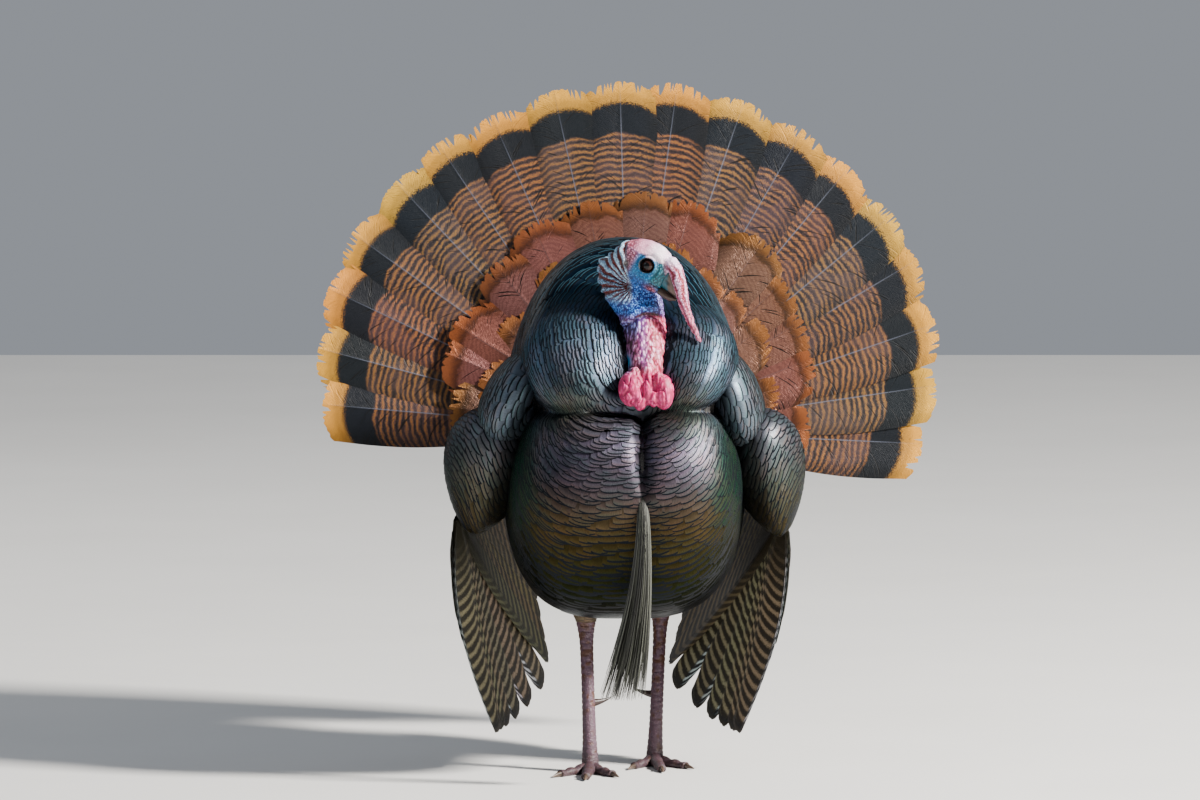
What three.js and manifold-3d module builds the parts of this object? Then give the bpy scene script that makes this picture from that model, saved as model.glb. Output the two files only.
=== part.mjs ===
// A life-size wild turkey tom in full strut, as closed solids in millimetres.
// +Z is up, the bird faces -Y, its left side is +X and its soles rest on Z = 0.
import * as THREE from "three";
import { mergeVertices } from "three/addons/utils/BufferGeometryUtils.js";
import Module from "manifold-3d";

const wasm = await Module();
wasm.setup();

const LEFT = 1;
const RIGHT = -1;
const GAP = 0.3; // clear space between neighbouring solids
const DEGREE = Math.PI / 180;

// Stations run evenly from the neck ring (first) to the tail root (last).
// "under" is the lower outline along the middle of the bird and "over" the upper one.
const TRUNK = {
  centreX: 4,
  underY: [-204, -226, -234, -224, -170, -75, 30, 125, 205],
  underZ: [464, 432, 382, 298, 218, 189, 192, 235, 320],
  overY: [-118, -92, -56, -14, 30, 80, 130, 180, 226],
  overZ: [588, 616, 634, 641, 638, 615, 568, 500, 420],
  halfWidth: [38, 86, 112, 131, 143, 147, 140, 108, 46],
  powerOver: 2.15,
  powerUnder: 3.1,
  waist: { z: 440, span: 75, share: 0.15, frontY: -110 }, // narrows the front half
  clearance: 1.4, // wider than GAP, as flat facets bridge the hollows of the relief
  rows: 18,
  columns: 24,
};

// Swellings and grooves of the trunk: centre, reach and height, all in millimetres.
const RELIEF = {
  creaseZ: 449,
  creaseHalf: 11,
  creaseDepth: 18,
  lobes: [
    { x: -46, z: 508, wide: 62, tall: 56, height: 34 },
    { x: 82, z: 506, wide: 48, tall: 54, height: 34 },
    { x: -44, z: 374, wide: 80, tall: 70, height: 15 },
    { x: 86, z: 374, wide: 62, tall: 70, height: 15 },
  ],
  lobeEdge: 3, // how steeply a lobe falls off at its rim
  furrow: { x: 25, half: 10, depth: 17, topZ: 452, bottomZ: 345 },
  frontY: [-60, -130], // where the front relief starts and where it is full
};
const CUTS = { waistZ: 449, chestY: -70, rumpY: 112 };

// Head frame: forward along the bill, up over the crown, and towards the right cheek.
const HEAD = {
  origin: [37.8, -180, 622],
  yaw: 65,
  pitch: 30,
  first: -52,
  last: 24,
  top: [-14, 6, 15, 20, 23.5, 25, 24, 19.5, 10],
  bottom: [-34, -42, -43, -41, -38, -35, -31, -28.5, -26],
  halfWidth: [9, 17, 20.5, 21.5, 21, 19.5, 18, 15, 11.5],
  power: 2.2,
};
const EYE = { radius: 8.5, out: 11.8, socketReach: 12, socketDepth: 2.5 };
const BILL_UPPER = {
  first: 24.3,
  last: 51.5,
  top: [9.5, 6.5, 2, -4, -11, -19],
  bottom: [-17, -17.5, -18, -18.2, -18.5, -20.5],
  halfWidth: [11, 9.5, 8, 6.3, 4.2, 1.2],
};
const BILL_LOWER = {
  first: 24.3,
  last: 46,
  top: [-17.6, -18.1, -18.6, -18.8, -19.2],
  bottom: [-26, -26.5, -26.3, -25.3, -22.5],
  halfWidth: [10, 8.6, 7.2, 5.4, 2.4],
};
const SNOOD = {
  x: [55, 64, 69.5, 74.5, 83, 94],
  y: [-188, -196, -200, -200, -199, -199],
  z: [631, 617, 599, 575, 553, 531],
  radius: [8.5, 8.6, 7.8, 5.8, 4.2, 2.6],
};
const NECK = {
  x: [-4, 4, 15, 24, 30, 32, 33, 33],
  y: [-151, -153, -159, -168, -177, -186, -192, -190],
  z: [626, 604, 580, 558, 536, 514, 490, 462],
  halfX: [22, 31, 33, 27, 25, 25.5, 25, 24],
  halfY: [22, 26, 27, 25, 24, 24, 24, 23],
};
const CARUNCLES = [
  { centre: [12, -222, 478], half: [14, 13, 21] },
  { centre: [31, -224, 476], half: [9.5, 13, 19] },
  { centre: [49, -221, 474], half: [12.5, 13, 21] },
];
const BEARD = {
  x: [24, 26, 22, 12, -1],
  y: [-226, -244, -236, -222, -210],
  z: [372, 310, 240, 170, 106],
  halfX: [6, 9, 13, 19, 20],
  halfY: [7, 9, 9, 8, 5],
};

// "lean" moves the top of a lump inwards, "taper" widens its top and narrows its foot.
const SCAPULAR = {
  [RIGHT]: { centre: [-126, -88, 456], half: [38, 86, 66], lean: 30, tilt: 14 },
  [LEFT]: { centre: [132, -88, 456], half: [36, 86, 66], lean: 22, tilt: 14 },
};
const WING_COVERTS = {
  [RIGHT]: { centre: [-160, -40, 360], half: [54, 100, 76], lean: 14, tilt: 22, taper: 0.42 },
  [LEFT]: { centre: [176, -40, 358], half: [46, 100, 76], lean: 12, tilt: 22, taper: 0.42 },
};

// A wing hangs as a curtain of feathers from the wrist. "sweep" is measured back from
// straight down, and tuck is how far the tips curve in towards the middle.
const WING = {
  wrist: [198, -45, 330],
  bow: 18,
  tuckPower: 1.25, // 1 would tuck evenly from wrist to tip
  inner: 40,
  thick: 2.2,
  step: 1.1,
  tipDrop: 9,
};
const PRIMARIES = { count: 10, sweep: [4, 37], reach: [286, 294], rows: 3 };
const SECONDARIES = { count: 12, sweep: [38, 84], reach: [288, 216], rows: 3 };
const TUCK = {
  [RIGHT]: { primaries: [44, 118], secondaries: [118, 80] },
  [LEFT]: { primaries: [52, 150], secondaries: [150, 84] },
};

const TAIL = {
  root: [11, 236, 388],
  lean: 8,
  inner: 30,
  dish: 12,
};
const TAIL_FAN = {
  count: 18,
  from: -91.2,
  to: 97.2,
  reach: [372, 410, 420, 426, 420, 402, 352],
  tipDrop: 12,
  thick: 2.6,
  step: 1.5,
  rows: 3,
};
const TAIL_COVERTS = {
  count: 11,
  from: -90,
  to: 92,
  reach: [226, 250, 280, 294, 280, 248, 222],
  tipDrop: 9,
  depth: [78, 16, 7, 3.5],
};
const UNDERTAIL = {
  count: 9,
  from: -62,
  to: 64,
  reach: [160, 192, 214, 222, 214, 192, 160],
  tipDrop: 8,
  depth: [34, 22, 12, 3],
};

// Legs: the hock is the heel joint and the ankle the top of the foot.
const LEGS = {
  [RIGHT]: { thigh: [-62, -58, 262], hock: [-42, -15, 172], ankle: [-37, -45, 18], turn: -4 },
  [LEFT]: { thigh: [64, 8, 268], hock: [48, 58, 176], ankle: [41, 32, 18], turn: 6 },
};
const THIGH = { half: [50, 40, 27, 17, 12.5] };
const SHANK = {
  halfX: [9.5, 13, 11.5, 8.2, 7.6, 7.6, 8.2, 10],
  halfY: [10.5, 14, 12, 9.4, 8.8, 8.8, 9.4, 11],
  rise: 12,
  rows: 7,
};
const TOES = [
  { name: "inner", turn: 34, length: 54, radius: 7.2 },
  { name: "middle", turn: 0, length: 76, radius: 7.8 },
  { name: "outer", turn: -34, length: 58, radius: 7.2 },
  { name: "hind", turn: 172, length: 27, radius: 5.8 },
];
const CLAW = { length: 16, radius: 3.4, droop: 2.2 };
const SOLE_PAD = { half: [12, 13, 9], centreZ: 6 };
const ANKLE_Z = 18;
const SPUR = { length: 26, radius: 6, hang: 0.42, lift: 8 };

const COLOURS = {
  plumage: [0x3c4250, 0.45, 0.35],
  belly: [0x35332c, 0.6, 0.15],
  wing: [0x6b655c, 0.65, 0.05],
  tail: [0x7a5a38, 0.7, 0],
  coverts: [0x8c5238, 0.65, 0],
  skin: [0xc04a68, 0.5, 0],
  face: [0x4f8fc4, 0.5, 0],
  horn: [0x6e5a44, 0.4, 0],
  eye: [0x1a100c, 0.08, 0],
  leg: [0x9a6470, 0.55, 0],
  beard: [0x1d1b1c, 0.6, 0],
};

// ---------------------------------------------------------------- small maths

function vec(x, y, z) {
  return new THREE.Vector3(x, y, z);
}

/** Value of a smooth curve through evenly spaced stations, for t from 0 to 1. */
function spline(stations, t) {
  const last = stations.length - 1;
  const span = THREE.MathUtils.clamp(t, 0, 1) * last;
  const i = Math.min(Math.floor(span), last - 1);
  const f = span - i;
  const at = (k) => stations[THREE.MathUtils.clamp(k, 0, last)];
  const [a, b, c, d] = [at(i - 1), at(i), at(i + 1), at(i + 2)];
  const square = (2 * a - 5 * b + 4 * c - d) * f * f;
  const cube = (3 * b - a - 3 * c + d) * f * f * f;
  return 0.5 * (2 * b + (c - a) * f + square + cube);
}

/** The spline of x, y and z stations at once. */
function splinePoint(shape, t) {
  return vec(spline(shape.x, t), spline(shape.y, t), spline(shape.z, t));
}

function bump(distance) {
  return Math.exp(-distance * distance);
}

/** Cosine or sine of a rounded-rectangle section: power 2 gives an ellipse. */
function rounded(value, power) {
  return Math.sign(value) * Math.abs(value) ** (2 / power);
}

// ------------------------------------------------------------- closed meshes

/** A geometry from points and triangles, with its faces turned outwards. */
function closedGeometry(points, triangles) {
  let volume = 0;
  for (const [a, b, c] of triangles) {
    volume += points[a].dot(points[b].clone().cross(points[c]));
  }
  const geometry = new THREE.BufferGeometry();
  const places = points.flatMap((p) => [p.x, p.y, p.z]);
  const order = volume < 0 ? triangles.map(([a, b, c]) => [a, c, b]) : triangles;
  geometry.setAttribute("position", new THREE.Float32BufferAttribute(places, 3));
  geometry.setIndex(order.flat());
  return geometry;
}

/** A closed skin over a stack of rings, with a fan of triangles over each end. */
function loft(rings) {
  const columns = rings[0].length;
  const points = rings.flat();
  const triangles = [];
  for (let row = 0; row + 1 < rings.length; row += 1) {
    for (let k = 0; k < columns; k += 1) {
      const next = (k + 1) % columns;
      const [a, b] = [row * columns + k, row * columns + next];
      const [c, d] = [a + columns, b + columns];
      triangles.push([a, b, d], [a, d, c]);
    }
  }
  for (const [start, ends] of [[0, rings[0]], [columns * (rings.length - 1), rings.at(-1)]]) {
    const centre = ends.reduce((sum, p) => sum.add(p), vec(0, 0, 0)).divideScalar(columns);
    const middle = points.push(centre) - 1;
    for (let k = 0; k < columns; k += 1) {
      const edge = [start + ((k + 1) % columns), start + k];
      triangles.push(start === 0 ? [middle, ...edge] : [middle, ...edge.reverse()]);
    }
  }
  return closedGeometry(points, triangles);
}

/** Rings of a section carried along t: place(t, angle) is one point of the surface. */
function sweep(rows, columns, place) {
  const rings = [];
  for (let row = 0; row <= rows; row += 1) {
    const ring = [];
    for (let k = 0; k < columns; k += 1) {
      ring.push(place(row / rows, (k / columns) * 2 * Math.PI));
    }
    rings.push(ring);
  }
  return loft(rings);
}

/** A thin closed plate between a front and a back sheet, both place(row, column, side). */
function plate(rows, columns, place) {
  const points = [];
  for (const side of [0, 1]) {
    for (let row = 0; row <= rows; row += 1) {
      for (let k = 0; k < columns; k += 1) {
        points.push(place(row / rows, k, side));
      }
    }
  }
  const back = (rows + 1) * columns;
  const at = (row, k) => row * columns + k;
  const triangles = [];
  const quad = (a, b, c, d) => triangles.push([a, b, c], [a, c, d]);
  for (let row = 0; row < rows; row += 1) {
    for (let k = 0; k + 1 < columns; k += 1) {
      const [a, b, c, d] = [at(row, k), at(row, k + 1), at(row + 1, k + 1), at(row + 1, k)];
      quad(a, b, c, d);
      quad(back + a, back + d, back + c, back + b);
    }
    for (const [k, turned] of [[0, false], [columns - 1, true]]) {
      const [a, b] = turned ? [at(row + 1, k), at(row, k)] : [at(row, k), at(row + 1, k)];
      quad(a, b, back + b, back + a);
    }
  }
  for (let k = 0; k + 1 < columns; k += 1) {
    quad(at(0, k + 1), at(0, k), back + at(0, k), back + at(0, k + 1));
    quad(at(rows, k), at(rows, k + 1), back + at(rows, k + 1), back + at(rows, k));
  }
  return closedGeometry(points, triangles);
}

function toSolid(geometry) {
  const bare = geometry.clone();
  bare.deleteAttribute("normal");
  bare.deleteAttribute("uv");
  const merged = mergeVertices(bare, 1e-4);
  const mesh = new wasm.Mesh({
    numProp: 3,
    vertProperties: new Float32Array(merged.attributes.position.array),
    triVerts: new Uint32Array(merged.index.array),
  });
  return new wasm.Manifold(mesh);
}

function toGeometry(solid) {
  const mesh = solid.getMesh();
  const geometry = new THREE.BufferGeometry();
  const places = new Float32Array(mesh.vertProperties);
  geometry.setAttribute("position", new THREE.BufferAttribute(places, 3));
  geometry.setIndex(new THREE.BufferAttribute(new Uint32Array(mesh.triVerts), 1));
  return geometry;
}

/** The largest of the bodies that a cut leaves. */
function largest(solid) {
  const bodies = solid.decompose();
  return bodies.reduce((best, body) => (body.volume() > best.volume() ? body : best));
}

function without(geometry, ...cutters) {
  let solid = toSolid(geometry);
  for (const cutter of cutters) {
    solid = solid.subtract(cutter);
  }
  return toGeometry(largest(solid));
}

function box(size, centre) {
  return toSolid(new THREE.BoxGeometry(...size).translate(...centre));
}

/** An ellipsoid, its tail end tilted down and then its top leaned sideways, in degrees. */
function ellipsoid({ centre, half, lean = 0, tilt = 0, taper = 0 }, across, down, grow = 0) {
  const ball = new THREE.SphereGeometry(1, across, down);
  const places = ball.attributes.position;
  for (let i = 0; i < places.count; i += 1) {
    const wide = 1 + taper * places.getZ(i);
    places.setXY(i, places.getX(i) * wide, places.getY(i) * wide);
  }
  ball.scale(half[0] + grow, half[1] + grow, half[2] + grow);
  ball.rotateX(-tilt * DEGREE);
  ball.rotateY(lean * DEGREE);
  return ball.translate(...centre);
}

// --------------------------------------------------------------------- trunk

/** How far the trunk stands out from its plain section at a point. */
function relief(point) {
  const [start, full] = RELIEF.frontY;
  const front = THREE.MathUtils.smoothstep(-point.y, -start, -full);
  const lobe = ({ x, z, wide, tall, height }) => {
    const away = Math.hypot((point.x - x) / wide, (point.z - z) / tall);
    return height * Math.exp(-(away ** RELIEF.lobeEdge));
  };
  const swelling = RELIEF.lobes.reduce((sum, shape) => sum + lobe(shape), 0);
  const crease = RELIEF.creaseDepth * bump((point.z - RELIEF.creaseZ) / RELIEF.creaseHalf);
  const { furrow } = RELIEF;
  const fade = THREE.MathUtils.smoothstep(point.z, furrow.bottomZ, furrow.topZ - 40);
  const below = 1 - THREE.MathUtils.smoothstep(point.z, furrow.topZ, furrow.topZ + 12);
  const groove = furrow.depth * bump((point.x - furrow.x) / furrow.half) * fade * below;
  return front * (swelling - crease - groove);
}

/** A point of the trunk: t runs from neck to tail, angle from the back down each side. */
function trunkPoint(t, angle, grow) {
  const under = vec(0, spline(TRUNK.underY, t), spline(TRUNK.underZ, t));
  const over = vec(0, spline(TRUNK.overY, t), spline(TRUNK.overZ, t));
  const centre = under.clone().add(over).multiplyScalar(0.5).setX(TRUNK.centreX);
  const spine = over.clone().sub(under);
  const half = spine.length() / 2;
  spine.normalize();
  const end = t === 0 ? grow : t === 1 ? -grow : 0;
  centre.add(vec(0, -spine.z * end, spine.y * end));
  const power = Math.cos(angle) > 0 ? TRUNK.powerOver : TRUNK.powerUnder;
  const point = centre.clone().addScaledVector(spine, half * rounded(Math.cos(angle), power));
  const { waist } = TRUNK;
  const ahead = THREE.MathUtils.smoothstep(-point.y, 0, -waist.frontY);
  const narrow = 1 - waist.share * bump((point.z - waist.z) / waist.span) * ahead;
  point.x += spline(TRUNK.halfWidth, t) * narrow * rounded(Math.sin(angle), power);
  const outward = point.clone().sub(centre).normalize();
  return point.addScaledVector(outward, relief(point) + grow);
}

function trunkGeometry(grow) {
  return sweep(TRUNK.rows, TRUNK.columns, (t, angle) => trunkPoint(t, angle, grow));
}

/** The trunk cut into six named regions by three thin planes. */
function trunkRegions() {
  const size = 900;
  const middle = [0, 0, 400];
  const cuts = [
    box([size, size, GAP], [0, 0, CUTS.waistZ]),
    box([size, GAP, size], [middle[0], CUTS.chestY, middle[2]]),
    box([size, GAP, size], [middle[0], CUTS.rumpY, middle[2]]),
  ];
  const whole = cuts.reduce((solid, cut) => solid.subtract(cut), toSolid(trunkGeometry(0)));
  const regions = {};
  for (const body of whole.decompose()) {
    const bounds = body.boundingBox();
    const y = (bounds.min[1] + bounds.max[1]) / 2;
    const upper = (bounds.min[2] + bounds.max[2]) / 2 > CUTS.waistZ;
    const names = upper ? ["crop", "mantle", "rump"] : ["breast", "belly", "vent"];
    const index = y < CUTS.chestY ? 0 : y < CUTS.rumpY ? 1 : 2;
    regions[names[index]] = toGeometry(body);
  }
  return regions;
}

// ---------------------------------------------------------------------- head

const headForward = vec(
  Math.cos(HEAD.pitch * DEGREE) * Math.sin(HEAD.yaw * DEGREE),
  -Math.cos(HEAD.pitch * DEGREE) * Math.cos(HEAD.yaw * DEGREE),
  -Math.sin(HEAD.pitch * DEGREE),
);
const headUp = vec(0, 0, 1).addScaledVector(headForward, -headForward.z).normalize();
const headRight = headForward.clone().cross(headUp);

/** A point given in the head's own frame: along the bill, up, and to its right. */
function inHead(along, up, right) {
  return vec(...HEAD.origin)
    .addScaledVector(headForward, along)
    .addScaledVector(headUp, up)
    .addScaledVector(headRight, right);
}

/** A lofted piece of the head between a top and a bottom outline. */
function headPiece(shape, rows, columns, grow, relieve = () => 0) {
  return sweep(rows, columns, (t, angle) => {
    const along = THREE.MathUtils.lerp(shape.first - grow, shape.last + grow, t);
    const top = spline(shape.top, t) + grow;
    const bottom = spline(shape.bottom, t) - grow;
    const power = shape.power ?? 2.4;
    const up = (top + bottom) / 2 + ((top - bottom) / 2) * rounded(Math.cos(angle), power);
    const wide = (spline(shape.halfWidth, t) + grow) * rounded(Math.sin(angle), power);
    return inHead(along, up, wide - Math.sign(wide) * relieve(along, up));
  });
}

/** The sunk orbit around each eye. */
function socket(along, up) {
  return EYE.socketDepth * bump(Math.hypot(along, up) / EYE.socketReach);
}

function headGeometry(grow) {
  return headPiece(HEAD, 10, 16, grow, socket);
}

function eyeGeometry(side, grow) {
  const ball = new THREE.SphereGeometry(EYE.radius + grow, 8, 6);
  return ball.translate(...inHead(0, 0, -side * EYE.out).toArray());
}

/** A tube with elliptic sections in level planes, for parts that hang or stand upright. */
function uprightTube(shape, rows, columns, grow) {
  return sweep(rows, columns, (t, angle) => {
    const x = (spline(shape.halfX, t) + grow) * Math.cos(angle);
    const y = (spline(shape.halfY, t) + grow) * Math.sin(angle);
    return splinePoint(shape, t).add(vec(x, y, 0));
  });
}

/** A round tube along a curved line, as wide at t as radius(t). */
function roundTube(line, radius, rows, columns) {
  return sweep(rows, columns, (t, angle) => {
    const ahead = line(Math.min(t + 0.02, 1)).sub(line(Math.max(t - 0.02, 0))).normalize();
    const across = vec(0, 0, 1).cross(ahead);
    if (across.length() < 0.2) {
      across.set(1, 0, 0);
    }
    across.normalize();
    const other = ahead.clone().cross(across);
    return line(t)
      .addScaledVector(across, radius(t) * Math.cos(angle))
      .addScaledVector(other, radius(t) * Math.sin(angle));
  });
}

// ----------------------------------------------------------- fans of feathers

const VANE_EDGE = 0.985; // just inside the border, so that neighbours' columns stay apart

/** The columns of a fan as [feather, offset -1..1], the same offsets for each feather. */
function featherColumns(count, offsets) {
  const columns = [];
  for (let feather = 0; feather < count; feather += 1) {
    for (const across of offsets) {
      columns.push([feather, across]);
    }
  }
  return columns;
}

/** A point of the tail's sheet: degrees from upright, distance from root, and depth. */
function tailPoint(degrees, distance, forward) {
  const turn = degrees * DEGREE;
  const lean = TAIL.lean * DEGREE;
  const rise = distance * Math.cos(turn);
  const cup = TAIL.dish * (distance / TAIL_FAN.reach[3]) ** 2 * Math.sin(turn) ** 2;
  const depth = forward + cup;
  return vec(
    TAIL.root[0] + distance * Math.sin(turn),
    TAIL.root[1] + rise * Math.sin(lean) - depth * Math.cos(lean),
    TAIL.root[2] + rise * Math.cos(lean) + depth * Math.sin(lean),
  );
}

/** A fan with round feather tips; depth(along, feather, side) is its face or its back. */
function tailPlate(shape, rows, depth) {
  const columns = featherColumns(shape.count, [-VANE_EDGE, 0, VANE_EDGE]);
  const width = (shape.to - shape.from) / shape.count;
  return plate(rows, columns.length, (along, k, side) => {
    const [feather, across] = columns[k];
    const degrees = shape.from + width * (feather + 0.5 + across / 2);
    const reach = spline(shape.reach, (feather + 0.5) / shape.count);
    const tip = reach - shape.tipDrop * across * across;
    const distance = THREE.MathUtils.lerp(TAIL.inner, tip, along);
    return tailPoint(degrees, distance, depth(along, feather, side));
  });
}

/** How many feathers a feather lies behind the middle pair. */
function placeFromMiddle(feather, count) {
  return Math.abs(feather - (count - 1) / 2) - 0.5;
}

function tailFanGeometry() {
  return tailPlate(TAIL_FAN, TAIL_FAN.rows, (along, feather, side) => {
    const behind = placeFromMiddle(feather, TAIL_FAN.count) * TAIL_FAN.step;
    return -behind - side * TAIL_FAN.thick;
  });
}

function tailCovertsGeometry() {
  return tailPlate(TAIL_COVERTS, 3, (along, feather, side) =>
    side === 1 ? GAP : GAP + spline(TAIL_COVERTS.depth, along),
  );
}

function undertailGeometry() {
  return tailPlate(UNDERTAIL, 2, (along, feather, side) => {
    const behind = (TAIL_FAN.count / 2) * TAIL_FAN.step + TAIL_FAN.thick + GAP;
    return side === 0 ? -behind : -behind - spline(UNDERTAIL.depth, along);
  });
}

/** A point of a hanging wing's sheet. */
function wingPoint(side, degrees, distance, share, tuck, bow, outward) {
  const turn = degrees * DEGREE;
  const curve = bow * Math.sin(Math.PI * share) - tuck * share ** WING.tuckPower;
  const out = WING.wrist[0] + curve + outward;
  return vec(
    side * out,
    WING.wrist[1] + distance * Math.sin(turn),
    WING.wrist[2] - distance * Math.cos(turn),
  );
}

function wingPlate(side, shape, tuckRange, order) {
  const columns = featherColumns(shape.count, [-VANE_EDGE, VANE_EDGE]);
  const width = (shape.sweep[1] - shape.sweep[0]) / shape.count;
  return plate(shape.rows, columns.length, (along, k, face) => {
    const [feather, across] = columns[k];
    const share = (feather + 0.5 + across / 2) / shape.count;
    const degrees = shape.sweep[0] + width * (feather + 0.5 + across / 2);
    const reach = THREE.MathUtils.lerp(...shape.reach, (feather + 0.5) / shape.count);
    const tip = reach - WING.tipDrop * Math.max(across, 0);
    const distance = THREE.MathUtils.lerp(WING.inner, tip, along);
    const tuck = THREE.MathUtils.lerp(...tuckRange, share);
    const bow = WING.bow * (order === 0 ? 1 - share : 0);
    const layer = (order === 0 ? feather : PRIMARIES.count + feather) * WING.step;
    const outward = layer - (face === 0 ? 0 : WING.thick);
    return wingPoint(side, degrees, distance, distance / reach, tuck, bow, outward);
  });
}

// ---------------------------------------------------------------------- legs

function legLine(points) {
  const curve = new THREE.CatmullRomCurve3(points, false, "centripetal");
  return (t) => curve.getPoint(t);
}

function thighGeometry(leg) {
  const [top, hock] = [vec(...leg.thigh), vec(...leg.hock).add(vec(0, -7, SHANK.rise + GAP))];
  return sweep(4, 12, (t, angle) => {
    const half = spline(THIGH.half, t);
    const place = top.clone().lerp(hock, t);
    return place.add(vec(half * Math.cos(angle), half * 1.1 * Math.sin(angle), 0));
  });
}

function shankGeometry(leg, grow) {
  const hock = vec(...leg.hock);
  const line = legLine([
    hock.clone().add(vec(0, -7, SHANK.rise)),
    hock,
    hock.clone().lerp(vec(...leg.ankle), 0.5),
    vec(leg.ankle[0], leg.ankle[1], ANKLE_Z + GAP),
  ]);
  return sweep(SHANK.rows, 8, (t, angle) => {
    const x = (spline(SHANK.halfX, t) + grow) * Math.cos(angle);
    const y = (spline(SHANK.halfY, t) + grow) * Math.sin(angle);
    return line(t).add(vec(x, y, 0));
  });
}

/** The direction a toe points in, seen from above. */
function toeDirection(side, leg, toe) {
  const turn = (leg.turn + side * -toe.turn) * DEGREE;
  return vec(Math.sin(turn), -Math.cos(turn), 0);
}

/** Height of a toe's middle line: it falls from the ankle and then lies on its sole. */
function toeHeight(t, radius) {
  const fall = 1 - THREE.MathUtils.smoothstep(t, 0, 0.35);
  return radius * 0.74 + 7 * fall;
}

function toeGeometry(side, leg, toe) {
  const ahead = toeDirection(side, leg, toe);
  const across = vec(-ahead.y, ahead.x, 0);
  return sweep(4, 6, (t, angle) => {
    const knuckle = 1 + 0.1 * Math.cos(6 * Math.PI * t);
    const radius = toe.radius * (1 - 0.36 * t) * knuckle;
    return vec(leg.ankle[0], leg.ankle[1], toeHeight(t, radius))
      .addScaledVector(ahead, toe.length * t)
      .addScaledVector(across, radius * Math.cos(angle))
      .add(vec(0, 0, radius * 0.9 * Math.sin(angle)));
  });
}

/** Four toes and the sole pad, cut flat underneath at Z = 0 and level at the ankle. */
function footGeometry(side, leg) {
  const [x, y] = leg.ankle;
  const pad = { centre: [x, y, SOLE_PAD.centreZ], half: SOLE_PAD.half };
  const joint = new THREE.CylinderGeometry(8.4, 10, ANKLE_Z - 6, 8);
  joint.rotateX(Math.PI / 2).translate(x, y, (ANKLE_Z + 6) / 2);
  const parts = TOES.map((toe) => toSolid(toeGeometry(side, leg, toe)));
  parts.push(toSolid(ellipsoid(pad, 8, 4)));
  const foot = parts.reduce((sum, part) => sum.add(part), toSolid(joint));
  const below = box([400, 400, 40], [x, y, -20]);
  const above = box([400, 400, 40], [x, y, ANKLE_Z + 20]);
  return toGeometry(largest(foot.subtract(below).subtract(above)));
}

function clawGeometry(side, leg, toe) {
  const ahead = toeDirection(side, leg, toe);
  const radius = CLAW.radius * (toe.radius / 6.5);
  const height = toeHeight(1, toe.radius * 0.64 * 1.1);
  const base = vec(leg.ankle[0], leg.ankle[1], height).addScaledVector(ahead, toe.length + GAP);
  const line = (t) =>
    base.clone().addScaledVector(ahead, CLAW.length * t).add(vec(0, 0, -CLAW.droop * t * t));
  const across = vec(-ahead.y, ahead.x, 0);
  return sweep(3, 5, (t, angle) => {
    const here = radius * (1 - 0.82 * t);
    return line(t)
      .addScaledVector(across, here * 0.8 * Math.cos(angle))
      .add(vec(0, 0, here * Math.sin(angle)));
  });
}

/** The spur points inwards and back from the lower shank, curving upwards. */
function spurGeometry(side, leg) {
  const root = vec(...leg.ankle).lerp(vec(...leg.hock), SPUR.hang);
  const ahead = vec(-side * 0.86, 0.5, 0);
  const line = (t) =>
    root
      .clone()
      .addScaledVector(ahead, (SPUR.length + 6) * t)
      .add(vec(0, 0, SPUR.lift * t * t - 3 * t));
  return roundTube(line, (t) => SPUR.radius * (1 - 0.86 * t), 4, 6);
}

// ------------------------------------------------------------------ assembly

const model = new THREE.Group();

function addPart(name, geometry, finish) {
  const [color, roughness, metalness] = COLOURS[finish];
  const material = new THREE.MeshStandardMaterial({ color, roughness, metalness });
  const mesh = new THREE.Mesh(geometry, material);
  mesh.name = name;
  model.add(mesh);
}

const trunkRoom = toSolid(trunkGeometry(TRUNK.clearance));
const headRoom = toSolid(headGeometry(GAP));
const neckRoom = toSolid(uprightTube(NECK, 7, 12, GAP));

for (const [name, geometry] of Object.entries(trunkRegions())) {
  addPart(name, geometry, ["belly", "vent"].includes(name) ? "belly" : "plumage");
}

const eyes = { left: LEFT, right: RIGHT };
const eyeRooms = Object.values(eyes).map((side) => toSolid(eyeGeometry(side, GAP)));
addPart("head", without(headGeometry(0), ...eyeRooms), "face");
for (const [name, side] of Object.entries(eyes)) {
  addPart(`eye_${name}`, eyeGeometry(side, 0), "eye");
}
addPart("bill_upper", headPiece(BILL_UPPER, 5, 10, 0), "horn");
addPart("bill_lower", headPiece(BILL_LOWER, 4, 10, 0), "horn");
const billRoom = toSolid(headPiece(BILL_UPPER, 5, 10, GAP));
const snoodTube = roundTube((t) => splinePoint(SNOOD, t), (t) => spline(SNOOD.radius, t), 7, 6);
addPart("snood", without(snoodTube, headRoom, billRoom), "skin");
addPart("neck", without(uprightTube(NECK, 7, 12, 0), headRoom, trunkRoom), "skin");

const lobes = CARUNCLES.map((lobe) => toSolid(ellipsoid(lobe, 8, 5)));
const caruncles = lobes.reduce((sum, lobe) => sum.add(lobe)).subtract(neckRoom);
addPart("caruncles", toGeometry(largest(caruncles.subtract(trunkRoom))), "skin");
addPart("beard", without(uprightTube(BEARD, 6, 8, 0), trunkRoom), "beard");

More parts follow.
